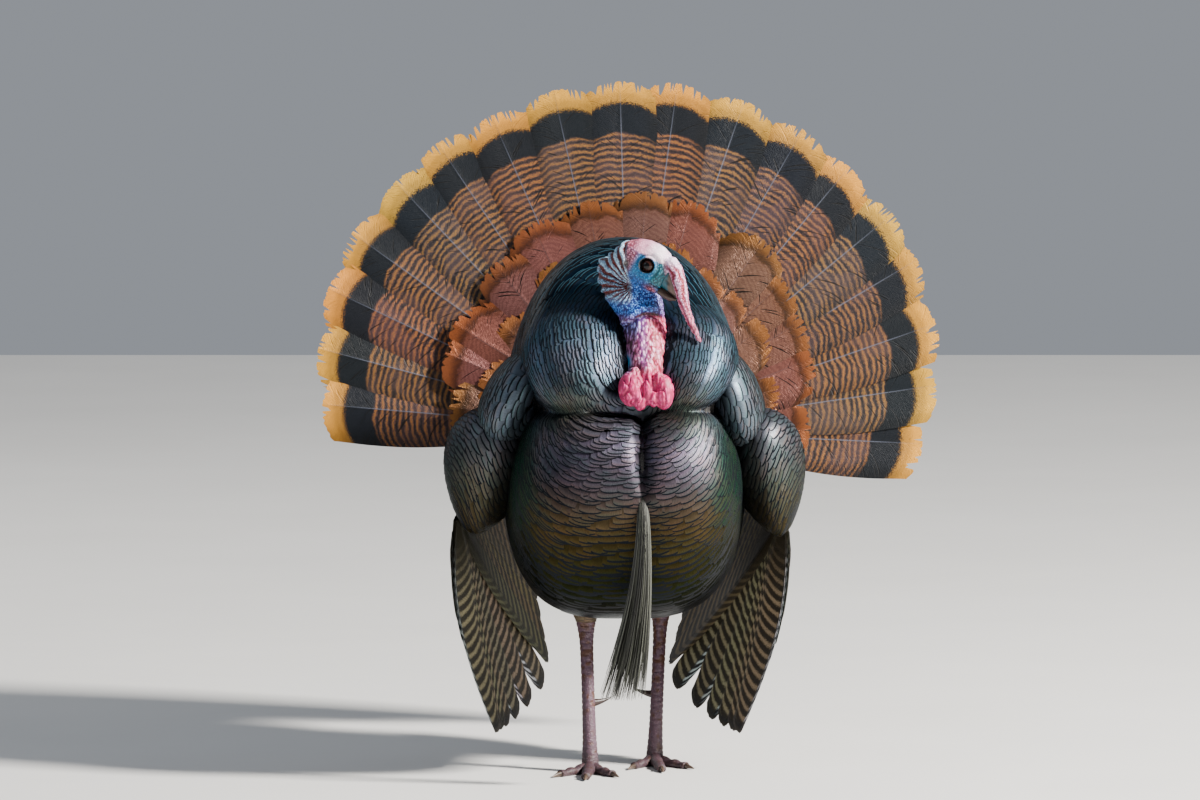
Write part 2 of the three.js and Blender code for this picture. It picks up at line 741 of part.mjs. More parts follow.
for (const [name, side] of [["left", LEFT], ["right", RIGHT]]) {
  const coverts = { ...WING_COVERTS[side], lean: -side * WING_COVERTS[side].lean };
  const scapular = { ...SCAPULAR[side], lean: -side * SCAPULAR[side].lean };
  const scapularRoom = toSolid(ellipsoid(scapular, 14, 9, GAP));
  const covertsRoom = toSolid(ellipsoid(coverts, 14, 8, GAP));
  addPart(`scapular_${name}`, without(ellipsoid(scapular, 14, 9), trunkRoom), "plumage");
  addPart(
    `wing_${name}_coverts`,
    without(ellipsoid(coverts, 14, 8), trunkRoom, scapularRoom),
    "plumage",
  );
  const tuck = TUCK[side];
  const inTheWay = [trunkRoom, scapularRoom, covertsRoom];
  addPart(
    `wing_${name}_primaries`,
    without(wingPlate(side, PRIMARIES, tuck.primaries, 0), ...inTheWay),
    "wing",
  );
  addPart(
    `wing_${name}_secondaries`,
    without(wingPlate(side, SECONDARIES, tuck.secondaries, 1), ...inTheWay),
    "wing",
  );
}

addPart("tail_fan", without(tailFanGeometry(), trunkRoom), "tail");
addPart("tail_coverts", without(tailCovertsGeometry(), trunkRoom), "coverts");
addPart("undertail_coverts", without(undertailGeometry(), trunkRoom), "coverts");

for (const [name, side] of [["left", LEFT], ["right", RIGHT]]) {
  const leg = LEGS[side];
  addPart(`thigh_${name}`, without(thighGeometry(leg), trunkRoom), "belly");
  addPart(`shank_${name}`, shankGeometry(leg, 0), "leg");
  addPart(`foot_${name}`, footGeometry(side, leg), "leg");
  for (const toe of TOES) {
    addPart(`claw_${name}_${toe.name}`, clawGeometry(side, leg, toe), "horn");
  }
  const shankRoom = toSolid(shankGeometry(leg, GAP));
  addPart(`spur_${name}`, without(spurGeometry(side, leg), shankRoom), "horn");
}

// The origin is at the middle of the bounding box, on the floor.
const bounds = new THREE.Box3().setFromObject(model);
const middle = bounds.getCenter(vec(0, 0, 0));
model.position.set(-middle.x, -middle.y, -bounds.min.z);

export default model;
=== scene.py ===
"""A strutting wild turkey tom: one bare skin, feather vanes over it, bill, eyes, claws and beard.

Shape classes work in the maker's millimetres: +Z is up, the bird faces -Y and its left side is +X.
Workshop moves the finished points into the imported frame, in metres, and hands over each piece.
"""

import logging
import math
from dataclasses import dataclass, field, replace
from enum import Enum
from typing import Callable, Iterable, Sequence

import bpy
import numpy as np
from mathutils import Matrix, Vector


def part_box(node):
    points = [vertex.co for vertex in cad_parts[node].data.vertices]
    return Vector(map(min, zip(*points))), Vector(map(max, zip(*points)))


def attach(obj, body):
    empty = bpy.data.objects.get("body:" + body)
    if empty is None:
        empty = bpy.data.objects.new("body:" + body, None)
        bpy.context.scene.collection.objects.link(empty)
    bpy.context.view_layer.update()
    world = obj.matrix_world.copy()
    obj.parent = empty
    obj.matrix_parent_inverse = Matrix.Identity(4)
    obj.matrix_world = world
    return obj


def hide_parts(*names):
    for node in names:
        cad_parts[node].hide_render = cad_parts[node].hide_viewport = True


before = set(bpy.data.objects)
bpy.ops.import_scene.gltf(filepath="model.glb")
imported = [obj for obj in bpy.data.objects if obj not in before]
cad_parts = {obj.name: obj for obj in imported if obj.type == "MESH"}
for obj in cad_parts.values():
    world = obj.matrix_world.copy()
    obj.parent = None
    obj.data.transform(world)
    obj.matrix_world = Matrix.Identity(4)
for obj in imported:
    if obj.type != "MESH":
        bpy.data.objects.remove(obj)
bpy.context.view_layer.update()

Array = np.ndarray
Place = Callable[[Array, Array], Array]  # points at t (0 to 1) and angle (0 to a full turn)
LOG = logging.getLogger("turkey")
Material = bpy.types.Material
Object = bpy.types.Object
TURN = 2 * math.pi


class Side(Enum):
    """A side of the bird, as the sign of its X."""

    LEFT = 1
    RIGHT = -1

    @property
    def word(self) -> str:
        """The side's name in the names of pieces."""
        return self.name.lower()


class Slot(Enum):
    """The material slots."""

    BODY = "body_feathers"
    BELLY = "belly_feathers"
    WING = "wing_feathers"
    TAIL = "tail_feathers"
    COVERT = "covert_feathers"
    SKIN = "bare_skin"
    HORN = "horn"
    EYE = "eye"
    LEG = "leg_skin"
    BEARD = "beard"


# ---- small maths


def spline(stations: Sequence[float], t: Array) -> Array:
    """A smooth (Catmull-Rom) curve through evenly spaced stations.

    Args:
        stations: Values at t = 0 to 1.
        t: Places along the curve.

    Returns:
        The values at t.
    """
    values = np.asarray(stations, float)
    last = len(values) - 1
    span = np.clip(t, 0, 1) * last
    i = np.minimum(span.astype(int), last - 1)
    f = span - i
    a, b, c, d = (values[np.clip(i + k, 0, last)] for k in (-1, 0, 1, 2))
    square = (2 * a - 5 * b + 4 * c - d) * f**2
    cube = (3 * b - a - 3 * c + d) * f**3
    return 0.5 * (2 * b + (c - a) * f + square + cube)


def ramp(x: Array, low: float, high: float) -> Array:
    """Goes smoothly from 0 at low to 1 at high; low may be the larger."""
    f = np.clip((x - low) / (high - low), 0, 1)
    return f * f * (3 - 2 * f)


def bump(distance: Array) -> Array:
    """A bell curve: 1 at 0, e to the minus square of the distance."""
    return np.exp(-np.square(distance))


def rounded(value: Array, power: float) -> Array:
    """Cosine or sine of a superellipse section; power 2 is an ellipse."""
    return np.sign(value) * np.abs(value) ** (2 / power)


def rgb(red: float, green: float, blue: float) -> Array:
    """A screen colour (0 to 1) as linear light."""
    c = np.array([red, green, blue])
    return np.where(c <= 0.04045, c / 12.92, ((c + 0.055) / 1.055) ** 2.4)


def opaque(colours: Array) -> Array:
    """Colours (n, 3) with an alpha of 1."""
    return np.column_stack([colours, np.ones(len(colours))])


def blended(a: Array, b: Array, share: Array) -> Array:
    """The colours a where share is 0 and b where it is 1."""
    share = np.clip(share, 0, 1)[:, None]
    return a * (1 - share) + b * share


def ellipse(half_x: Array, half_y: Array, angle: Array) -> Array:
    """Points on level ellipses round the origin."""
    return np.stack([half_x * np.cos(angle), half_y * np.sin(angle), 0 * angle], axis=1)


def lattice(cells: Array, seed: int) -> Array:
    """A repeatable value from -1 to 1 for each whole-number cell (n, 3)."""
    x, y, z = cells.astype(np.int64).astype(np.uint32).T
    h = x * np.uint32(374761393) + y * np.uint32(668265263) + z * np.uint32(2246822519)
    h = h + np.uint32(seed * 3266489917 % 2**32)
    h = (h ^ (h >> np.uint32(13))) * np.uint32(1274126177)
    h = h ^ (h >> np.uint32(16))
    return (h & np.uint32(0xFFFF)) / 32767.5 - 1


def noise(points: Array, cell: float, seed: int = 0) -> Array:
    """Smooth lattice noise from -1 to 1, one swing per cell.

    Args:
        points: (n, 3) places.
        cell: Size of a lattice cell, or three sizes.
        seed: Picks another pattern.

    Returns:
        (n,) values: the corner values of each cell, blended by smooth shares.
    """
    p = points / np.asarray(cell, float)
    low = np.floor(p)
    f = p - low
    f = f * f * (3 - 2 * f)
    total = np.zeros(len(p))
    for corner in np.ndindex(2, 2, 2):
        share = np.prod(np.where(corner, f, 1 - f), axis=1)
        total += share * lattice(low + corner, seed)
    return total


def nearest_seed(points: Array, cell: float, seed: int = 0) -> Array:
    """Distance to the nearest of scattered seeds, one in each cell, as a share of the cell."""
    p = points / np.asarray(cell, float)
    low = np.floor(p)
    best = np.full(len(p), 9.0)
    for step in np.ndindex(3, 3, 3):
        home = low + np.array(step) - 1
        offset = np.stack([lattice(home, seed + k) for k in (11, 12, 13)], axis=1) * 0.4 + 0.5
        best = np.minimum(best, np.linalg.norm(p - home - offset, axis=1))
    return best


# ---- meshes in arrays


@dataclass
class Shell:
    """Points with faces and with values that vary from point to point."""

    points: Array
    quads: Array
    tris: Array = field(default_factory=lambda: np.zeros((0, 3), int))
    uvs: dict[str, Array] = field(default_factory=dict)
    tints: dict[str, Array] = field(default_factory=dict)

    def volume(self) -> float:
        """Signed volume: positive if the faces point outwards."""
        corners = [self.tris, self.quads[:, [0, 1, 2]], self.quads[:, [0, 2, 3]]]
        a, b, c = (self.points[np.concatenate(corners)[:, k]] for k in range(3))
        return float(np.einsum("ij,ij->", a, np.cross(b, c)))

    def outward(self) -> "Shell":
        """The same shell with its faces pointing outwards."""
        if self.volume() >= 0:
            return self
        return replace(self, quads=self.quads[:, ::-1], tris=self.tris[:, ::-1])


def join(shells: Iterable[Shell]) -> Shell:
    """One shell made of several that carry the same values."""
    parts = list(shells)
    starts = np.cumsum([0] + [len(s.points) for s in parts])
    return Shell(
        np.concatenate([s.points for s in parts]),
        np.concatenate([s.quads + k for s, k in zip(parts, starts)]),
        np.concatenate([s.tris + k for s, k in zip(parts, starts)]),
        {n: np.concatenate([s.uvs[n] for s in parts]) for n in parts[0].uvs},
        {n: np.concatenate([s.tints[n] for s in parts]) for n in parts[0].tints},
    )


def grid_quads(rows: int, columns: int, wrap: bool) -> Array:
    """Faces of a rows x columns grid of points, joined round if wrap."""
    index = np.arange(rows * columns).reshape(rows, columns)
    if wrap:
        index = np.concatenate([index, index[:, :1]], axis=1)
    corners = [index[:-1, :-1], index[:-1, 1:], index[1:, 1:], index[1:, :-1]]
    return np.stack(corners, axis=-1).reshape(-1, 4)


def tube(place: Place, rows: int, columns: int) -> Shell:
    """A closed skin over rings of points.

    Args:
        place: Gives the points (n, 3) at t (0 to 1) and angle (0 to a full turn).
        rows: Number of rings.
        columns: Points in a ring.

    Returns:
        The shell, its ends closed by fans round the middle of the end rings.
    """
    t, angle = np.meshgrid(
        np.linspace(0, 1, rows), np.linspace(0, TURN, columns, endpoint=False), indexing="ij"
    )
    points = place(t.ravel(), angle.ravel())
    ends = [points[:columns].mean(0), points[-columns:].mean(0)]
    first, k = len(points), np.arange(columns)
    after = (k + 1) % columns
    last = first - columns
    caps = [
        np.stack([np.full(columns, first), after, k], axis=1),
        np.stack([np.full(columns, first + 1), last + k, last + after], axis=1),
    ]
    shell = Shell(np.vstack([points, ends]), grid_quads(rows, columns, True), np.concatenate(caps))
    return shell.outward()


@dataclass(frozen=True)
class Vane:
    """The grid of one feather blade: a closed lens whose faces share their rim."""

    rows: int
    columns: int
    under: float = 1.0  # brightness of the under side

    @property
    def x(self) -> Array:
        """Across the blade, -1 to 1, for each point of the grid."""
        return np.tile(np.linspace(-1, 1, self.columns), self.rows)

    @property
    def y(self) -> Array:
        """Along the blade, 0 at the root to 1 at the tip."""
        return np.repeat(np.linspace(0, 1, self.rows), self.columns)

    @property
    def inner(self) -> Array:
        """Numbers of the grid points that are not on the rim."""
        index = np.arange(self.rows * self.columns).reshape(self.rows, self.columns)
        return index[1:-1, 1:-1].ravel()

    def shell(self, top: Array, under: Array, maps: dict[str, Array], tints: dict[str, Array]) -> Shell:
        """Closed blades from their upper and under sides.

        Args:
            top: (feathers, grid points, 3) upper sides.
            under: The under sides, of which only the inner points are used.
            maps: UV maps, (feathers, grid points, 2).
            tints: Colours, (feathers, 4), with "tint" among them.

        Returns:
            All the blades as one shell.
        """
        count, size = top.shape[:2]
        inner = self.inner
        points = np.concatenate([top, under[:, inner]], axis=1)
        upper = grid_quads(self.rows, self.columns, False)
        below = np.arange(size)
        below[inner] = size + np.arange(len(inner))
        faces = np.concatenate([upper, below[upper][:, ::-1]])
        each = points.shape[1]
        quads = (faces[None] + np.arange(count)[:, None, None] * each).reshape(-1, 4)
        uvs = {n: np.concatenate([v, v[:, inner]], axis=1).reshape(-1, 2) for n, v in maps.items()}
        colours = {n: np.repeat(v, each, axis=0) for n, v in tints.items()}
        colours["tint"][np.tile(np.arange(each) >= size, count)] *= self.under
        return Shell(points.reshape(-1, 3), quads, uvs=uvs, tints=colours).outward()


# ---- the surfaces


class Chart:
    """A closed surface read off a table of its points and outward normals."""

    def __init__(
        self,
        place: Place,
        swell: Callable[[Array], Array] | None = None,
        rows: int = 321,
        columns: int = 361,
    ) -> None:
        """Fills the table.

        Args:
            place: Gives points at t (0 to 1) and angle (0 to a full turn).
            swell: How far each point moves out along its normal.
            rows: Steps of t.
            columns: Steps of the angle, the last being the first again.
        """
        t, angle = np.meshgrid(np.linspace(0, 1, rows), np.linspace(0, TURN, columns), indexing="ij")
        self.points = place(t.ravel(), angle.ravel()).reshape(rows, columns, 3)
        self.normals = self.find_normals()
        if swell is not None:
            out = swell(self.points.reshape(-1, 3)).reshape(rows, columns, 1)
            self.points = self.points + self.normals * out
            self.normals = self.find_normals()

    def find_normals(self) -> Array:
        """Cross product of the table's steps along and around; end rings copy their neighbour."""
        p = self.points
        along = np.gradient(p, axis=0)
        wide = np.concatenate([p[:, -2:-1], p, p[:, 1:2]], axis=1)
        normals = np.cross(along, wide[:, 2:] - wide[:, :-2])
        normals /= np.maximum(np.linalg.norm(normals, axis=2, keepdims=True), 1e-12)
        normals[0], normals[-1] = normals[1], normals[-2]
        outwards = np.einsum("ijk,ijk->", normals, p - p.mean((0, 1)))
        return normals * np.sign(outwards)

    def place(self, t: Array, angle: Array, inset: Array | float = 0.0) -> Array:
        """Points at t and angle, moved inwards along the normal by inset."""
        rows, columns = self.points.shape[:2]
        u = np.clip(t, 0, 1) * (rows - 1)
        v = (angle / TURN % 1) * (columns - 1)
        i = np.minimum(u.astype(int), rows - 2)
        j = np.minimum(v.astype(int), columns - 2)
        f, g = (u - i)[:, None], (v - j)[:, None]

        def blend(table: Array) -> Array:
            """The table's value between its four neighbours."""
            near = table[i, j] * (1 - f) + table[i + 1, j] * f
            far = table[i, j + 1] * (1 - f) + table[i + 1, j + 1] * f
            return near * (1 - g) + far * g

        normal = blend(self.normals)
        normal /= np.linalg.norm(normal, axis=1)[:, None]
        return blend(self.points) - normal * np.broadcast_to(inset, len(u))[:, None]


@dataclass(frozen=True)
class Trunk:
    """The body from the neck seam (t = 0) to the tail root (t = 1).

    A section joins the lower outline to the upper one and is a superellipse. Pillow-like crop and
    breast lobes, the crease between them and the furrow down the breast then move it along its normal.
    """

    centre_x: tuple = (25, 12, 4, 4, 4, 4, 4, 4, 4, 4, 6)
    under_y: tuple = (-183, -204, -226, -234, -224, -170, -75, 30, 125, 205, 238)
    under_z: tuple = (480, 464, 432, 382, 298, 218, 189, 192, 235, 320, 362)
    over_y: tuple = (-136, -118, -92, -56, -14, 30, 80, 130, 180, 226, 240)
    over_z: tuple = (560, 588, 616, 634, 641, 638, 615, 568, 500, 420, 380)
    half_width: tuple = (2, 38, 86, 112, 131, 143, 147, 140, 108, 46, 3)
    power_over: float = 2.15
    power_under: float = 3.1
    waist: tuple = (440, 75, 0.15)  # height, half span and share taken off the width at the front
    front_y: tuple = (-60, -130)
    crease: tuple = (449, 8, 16)  # height, half width and depth
    furrow: tuple = (25, 7, 19)  # side, half width and depth
    furrow_z: tuple = (325, 460)
    lobes: tuple = (  # side, height, reach sideways and upwards, swell
        (-46, 508, 62, 56, 34),
        (82, 506, 48, 54, 34),
        (-44, 374, 80, 70, 15),
        (86, 374, 62, 70, 15),
    )

    def swell(self, p: Array) -> Array:
        """How far the lobes, the crease and the furrow move each point outwards."""
        x, z = p[:, 0], p[:, 2]
        out = 0 * x
        for side, height, wide, tall, grow in self.lobes:
            out += grow * np.exp(-np.hypot((x - side) / wide, (z - height) / tall) ** 3.6)
        at, half, depth = self.crease
        out -= depth * np.exp(-np.abs((z - at - 6 * bump((x - 25) / 50)) / half) ** 1.3)
        side, wide, deep = self.furrow
        low, top = self.furrow_z
        span = ramp(z, low, low + 75) * ramp(z, top, top - 10)
        out -= deep * np.exp(-np.abs((x - side) / wide) ** 1.3) * span
        return out * ramp(p[:, 1], *self.front_y)

    def section(self, t: Array, angle: Array) -> Array:
        """Points of the plain loft at t and angle (0 along the back, growing to the left side)."""
        outlines = (self.under_y, self.under_z), (self.over_y, self.over_z)
        under, over = (np.stack([0 * t, spline(y, t), spline(z, t)], axis=1) for y, z in outlines)
        power = np.where(np.cos(angle) > 0, self.power_over, self.power_under)
        point = (under + over) / 2 + (over - under) * rounded(np.cos(angle), power)[:, None] / 2
        at, half, share = self.waist
        narrow = 1 - share * bump((point[:, 2] - at) / half) * ramp(point[:, 1], 0, -110)
        aside = spline(self.half_width, t) * rounded(np.sin(angle), power)
        point[:, 0] = spline(self.centre_x, t) + aside * narrow
        return point

    def chart(self) -> Chart:
        """The finished surface."""
        return Chart(self.section, self.swell)


@dataclass(frozen=True)
class Lobe:
    """An ellipsoid, tilted tail down and leaned sideways, charted from a chosen pole."""

    centre: tuple
    half: tuple
    lean: float = 0
    tilt: float = 0
    pole: tuple = (0, -1, 0)  # where t = 0 is, in the ellipsoid's own axes
    taper: float = 0  # how much wider the top is and narrower the bottom

    def place(self, t: Array, angle: Array) -> Array:
        """Points at t (from the pole to its opposite) and angle (0 towards the top)."""
        start = np.array(self.pole, float) / np.linalg.norm(self.pole)
        up = np.array([0, 0, 1.0]) if abs(start[2]) < 0.9 else np.array([0, 1.0, 0])
        up -= start * (up @ start)
        up /= np.linalg.norm(up)
        aside = np.cross(up, start)
        ring = np.sin(np.pi * t)
        unit = np.outer(np.cos(np.pi * t), start)
        unit += np.outer(ring * np.cos(angle), up) + np.outer(ring * np.sin(angle), aside)
        unit[:, :2] *= 1 + self.taper * unit[:, 2:]
        return (unit * np.array(self.half)) @ self.axes() + self.centre

    def axes(self) -> Array:
        """Rows are the ellipsoid's own axes in the maker's axes."""
        a, b = math.radians(-self.tilt), math.radians(self.lean)
        pitch = np.array([[1, 0, 0], [0, math.cos(a), -math.sin(a)], [0, math.sin(a), math.cos(a)]])
        roll = np.array([[math.cos(b), 0, math.sin(b)], [0, 1, 0], [-math.sin(b), 0, math.cos(b)]])
        return (roll @ pitch).T

    def depth_of(self, p: Array) -> Array:
        """0 at the centre, 1 on the surface and more outside it."""
        own = (p - self.centre) @ self.axes().T / np.array(self.half)
        own[:, :2] /= np.clip(1 + self.taper * own[:, 2:], 0.3, 2)
        return np.linalg.norm(own, axis=1)

    def chart(self) -> Chart:
        """The finished surface."""
        return Chart(self.place, None, 161, 201)


# ---- the plumage


@dataclass(frozen=True)
class Tract:
    """A patch of plumage, with the size and the look of its feathers.

    Where tracts meet, their values are blended by bell curves round their centres.
    """

    centre: tuple  # the X is a distance to either side of the body's middle
    reach: float
    gap: float  # between rows of tips
    width: float  # between neighbours in a row
    colour: tuple  # as seen on a screen
    metal: float
    band: float  # black at the tip, in millimetres
    # the pale edge is buff on warm tints and a painted teal highlight on blue ones
    fringe: float = 0.0  # strength of the pale edge
    gloss: float = 0.0  # taken off the roughness


@dataclass(frozen=True)
class FeatherBed:
    """Rows of small overlapping feathers on a surface, from t = 0 towards t = 1."""

    surface: Chart
    tracts: tuple[Tract, ...]
    seed: int
    keep: Callable[[Array], Array]
    vane: Vane = Vane(7, 7)
    span: tuple = (0.0, 0.985)
    middle: float = 4.0  # the X that the tracts' distances are measured from
    cover: float = 3.4  # length of a feather in gaps
    coat: float = 8.0
    slope: float = 3.2  # how far a feather's middle lies under the coat's surface
    thickness: float = 0.4
    overlap: float = 1.36  # width of a feather over the space between neighbours
    jitter: float = 0.10
    table: tuple = (320, 241)  # places along and around at which the rows are found
    patch: float = 0.003  # size of a feather on the bake map

    def law(self, p: Array, name: str) -> Array:
        """The tracts' blended value of one kind at each point.

        Args:
            p: (n, 3) places.
            name: A field of Tract.

        Returns:
            (n,) or (n, 3) values.
        """
        at = np.stack([np.abs(p[:, 0] - self.middle), p[:, 1], p[:, 2]], axis=1)
        weights, values = [], []
        for tract in self.tracts:
            away = np.linalg.norm(at - tract.centre, axis=1) / tract.reach
            weights.append(np.exp(-(away**2)) + 1e-9 / (1 + away))
            value = rgb(*tract.colour) if name == "colour" else getattr(tract, name)
            values.append(np.broadcast_to(value, (len(p), np.size(value))))
        share = np.array(weights) / np.sum(weights, axis=0)
        mixed = np.einsum("kn,knd->nd", share, np.array(values, float))
        return mixed[:, 0] if mixed.shape[1] == 1 else mixed

    def roots(self) -> Array:
        """(n, 2) t and angle of each feather's root.

        The rows are level lines of the number of gaps passed since t = 0, and in a row the feathers
        are as many widths apart, every second row being shifted by half a step.
        """
        random = np.random.default_rng(self.seed + 7)
        steps, around = self.table
        t = np.linspace(*self.span, steps)
        angle = np.linspace(0, TURN, around)
        grid_t, grid_a = np.meshgrid(t, angle, indexing="ij")
        p = self.surface.place(grid_t.ravel(), grid_a.ravel())
        gaps = self.law(p, "gap").reshape(steps, around)
        p = p.reshape(steps, around, 3)
        moved = np.linalg.norm(np.diff(p, axis=0), axis=2) / ((gaps[1:] + gaps[:-1]) / 2)
        passed = np.vstack([np.zeros((1, around)), np.cumsum(moved, axis=0)])
        rows = np.arange(-self.cover + 1.2, passed.max())
        lines = [np.interp(rows, passed[:, k], t, left=-1.0, right=np.nan) for k in range(around)]
        found = []
        for number, line in enumerate(np.array(lines).T):
            inside = np.isfinite(line)
            early = rows[number] * 0.004 if rows[number] < 0 else 0.0
            at = np.where(inside, np.maximum(line, 0), self.span[1])
            q = self.surface.place(np.maximum(at, 0.012), angle)
            step = np.linalg.norm(np.diff(q, axis=0), axis=1) * (inside[1:] & inside[:-1])
            wide = self.law(q, "width")
            along = np.concatenate([[0], np.cumsum(step / ((wide[1:] + wide[:-1]) / 2))])
            count = int(round(along[-1]))
            if count < 3:
                continue
            shift = random.uniform(-0.2, 0.2, count)
            places = (np.arange(count) + 0.5 * (number % 2) + 0.25 + shift) * along[-1] / count
            row = [np.interp(places, along, at) + early, np.interp(places, along, angle)]
            found.append(np.stack(row, axis=1))
        return np.concatenate(found)

    def shell(self) -> Shell:
        """All the feathers of the bed as closed blades.

        A blade's point lies at the root's t and angle plus its own distance along and across, both
        divided by the surface's stretch there, so that the blade follows the body; its first part
        rises from the skin, the rest lies almost flat and leans a little on its neighbour.
        """
        random = np.random.default_rng(self.seed)
        t, angle = self.roots().T
        p = self.surface.place(t, angle)
        kept = self.keep(p)
        t, angle, p = t[kept], angle[kept], p[kept]
        count = len(t)
        small = 2e-3
        ahead = self.surface.place(np.clip(t, 0, 0.99) + small, angle)
        here = self.surface.place(np.clip(t, 0, 0.99), angle)
        stretch_t = np.linalg.norm(ahead - here, axis=1) / small
        x, y = self.vane.x, self.vane.y
        y = 1 - (1 - y) ** 1.5  # closer rows near the tip
        gap = self.law(p, "gap")
        length = gap * self.cover + gap * random.normal(0, self.jitter, count)
        width = self.law(p, "width") * self.overlap / 2
        along = y * length[:, None] - 0.16 * np.abs(x) ** 2.6 * y**2 * width[:, None]
        at_t = t[:, None] + along / stretch_t[:, None]
        around, aside = np.repeat(angle, len(x)), 0.02
        clear = np.clip(at_t, 0.01, 1).ravel()
        step = self.surface.place(clear, around + aside) - self.surface.place(clear, around)
        stretch_a = np.linalg.norm(step, axis=1).reshape(count, -1) / aside
        outline = 0.5 + 0.5 * ramp(y, 0, 0.45) - 0.03 * ramp(y, 0.85, 1.0)
        across = x * outline * width[:, None]
        turned = random.normal(0, 0.05, count)[:, None]
        across = across + along * turned
        at_t = at_t - across * turned / stretch_t[:, None]
        at_a = angle[:, None] + across / np.maximum(stretch_a, 4)
        arch = 0.004 * width[:, None] * x**2
        lean = 0.12 * x * np.where(np.sin(angle) > 0, 1, -1)[:, None]
        lift = random.normal(0, 0.14, count)[:, None] * y
        rooted = self.coat * np.clip(1 - y / 0.3, 0, 1) ** 1.3
        inset = self.slope * (1 - y) + rooted + arch + lean * y - lift
        thick = self.thickness * (0.5 + 0.5 * np.sin(np.pi * np.clip(y, 0.05, 0.9)))

        def lay(sunk: Array) -> Array:
            """The blades on the surface, sunk under it by this much."""
            flat = self.surface.place(np.clip(at_t, 0, 1).ravel(), at_a.ravel(), sunk.ravel())
            return flat.reshape(count, -1, 3)

        root = (angle / TURN)[:, None], t[:, None]
        baked = np.stack([root[0] + self.patch * x / 2, root[1] + self.patch * (y - 0.5)], axis=2)
        baked = 0.004 + 0.992 * np.clip(baked, 0, 1)
        from_tip = (1 - y) * length[:, None]
        seen = np.stack([0.5 + across / 100, from_tip / 100], axis=2)
        shade = self.law(p, "colour") * random.uniform(0.90, 1.10, (count, 1))
        shade = shade * random.uniform(0.96, 1.04, (count, 3))
        tint = np.column_stack([shade, self.law(p, "metal")])
        band = self.law(p, "band") * random.uniform(0.8, 1.2, count) / 10
        chance = random.random(count)
        mark = np.column_stack([band, chance, self.law(p, "fringe"), self.law(p, "gloss")])
        LOG.info("bed %d: %d feathers", self.seed, count)
        maps = {"vane": seen, "OFBake": baked}
        return self.vane.shell(lay(inset), lay(inset + thick), maps, {"tint": tint, "mark": mark})


@dataclass(frozen=True)
class Fan:
    """A row of large feathers that spread from one root on a curved sheet.

    A blade runs out from the root at its own angle; sheet turns its flat place (sideways, outwards)
    and its height above the sheet into a point.
    """

    sheet: Callable[[Array, Array, Array], Array]
    degrees: Array
    reach: Array
    half: Array  # half widths
    layer: Array  # height of each blade on the sheet
    start: float
    profile: tuple  # half width along the blade, as shares
    drop: float  # how much shorter the blade is at its corners
    seed: int
    vane: Vane = Vane(34, 21)
    ragged: float = 0.0
    leading: float = 1.0  # width of the leading vane over the trailing one
    arch: float = 1.2
    thickness: float = 0.7
    shaft: float = 0.8
    rise: Callable[[Array], Array] | None = None  # height along the blade over its layer
    slits: float = 0.0  # depth of the splits in the tip
    jitter: float = 0.0  # how unevenly the blades are set, in degrees
    roll: float = 0.0  # how far one edge stands over the other
    shelf: tuple = (0.0, 1.0)  # part of the bake map's height

    def shell(self) -> Shell:
        """The blades, with places in millimetres from tip and shaft in the map "vane"."""
        random = np.random.default_rng(self.seed)
        count = len(self.degrees)
        x, y = self.vane.x, self.vane.y
        x = np.sign(x) * np.abs(x) ** 1.25  # finer near the shaft
        y = 1 - (1 - y) ** 1.25  # closer rows near the tip
        columns = self.vane.columns
        jag = random.uniform(0, 1, (count, 1, columns)) ** 2 * self.ragged
        split = random.uniform(0, 1, (count, 1, columns)) < 0.2
        jag = jag + split * self.slits * random.uniform(0.3, 1.0, (count, 1, columns))
        jag = np.repeat(jag, self.vane.rows, 1).reshape(count, -1)
        reach = self.reach[:, None] * (1 + 0.005 * self.jitter * random.normal(0, 1, (count, 1)))
        tip = reach - self.drop * np.abs(x) ** 2.4 - jag * ramp(np.abs(x), 0, 0.1)
        out = self.start + (tip - self.start) * y
        side = np.where(x < 0, self.leading, 1.0)
        across = x * side * spline(self.profile, y) * self.half[:, None]
        across = across + random.normal(0, 1.2, count)[:, None] * y**2
        turn = np.radians(self.degrees + self.jitter * random.normal(0, 1, count))[:, None]
        flat_x = out * np.sin(turn) + across * np.cos(turn)
        flat_y = out * np.cos(turn) - across * np.sin(turn)
        height = self.layer[:, None] - self.arch * x**2 + random.normal(0, 0.25, count)[:, None] * y
        height = height + self.roll * x * y
        height = height + 0.05 * np.sin(np.abs(across) * 1.9 + out * 0.9) * ramp(np.abs(x), 0.05, 0.3)
        if self.rise is not None:
            height = height + self.rise(out / self.reach[:, None])
        spine = self.shaft * bump(x / 0.045) * (1 - 0.75 * y)
        thick = self.thickness * np.ones_like(height)

        def lay(level: Array) -> Array:
            """The blades on the sheet, at this height over it."""
            return self.sheet(flat_x.ravel(), flat_y.ravel(), level.ravel()).reshape(count, -1, 3)

        from_tip = reach - self.drop * np.abs(x) ** 2.4 - out
        seen = np.stack([0.5 + across / 100, from_tip / 500], axis=2)
        strip = (np.arange(count)[:, None] + 0.5 + 0.46 * x) / count
        low, high = self.shelf
        level = low + (high - low) * (0.01 + 0.98 * y)
        baked = np.stack([strip, np.broadcast_to(level, strip.shape)], axis=2)
        maps = {"vane": seen, "OFBake": baked}
        tints = {"tint": opaque(random.uniform(0.88, 1.12, (count, 3)))}
        return self.vane.shell(lay(height + spine), lay(height - thick - spine), maps, tints)


# ---- node writing


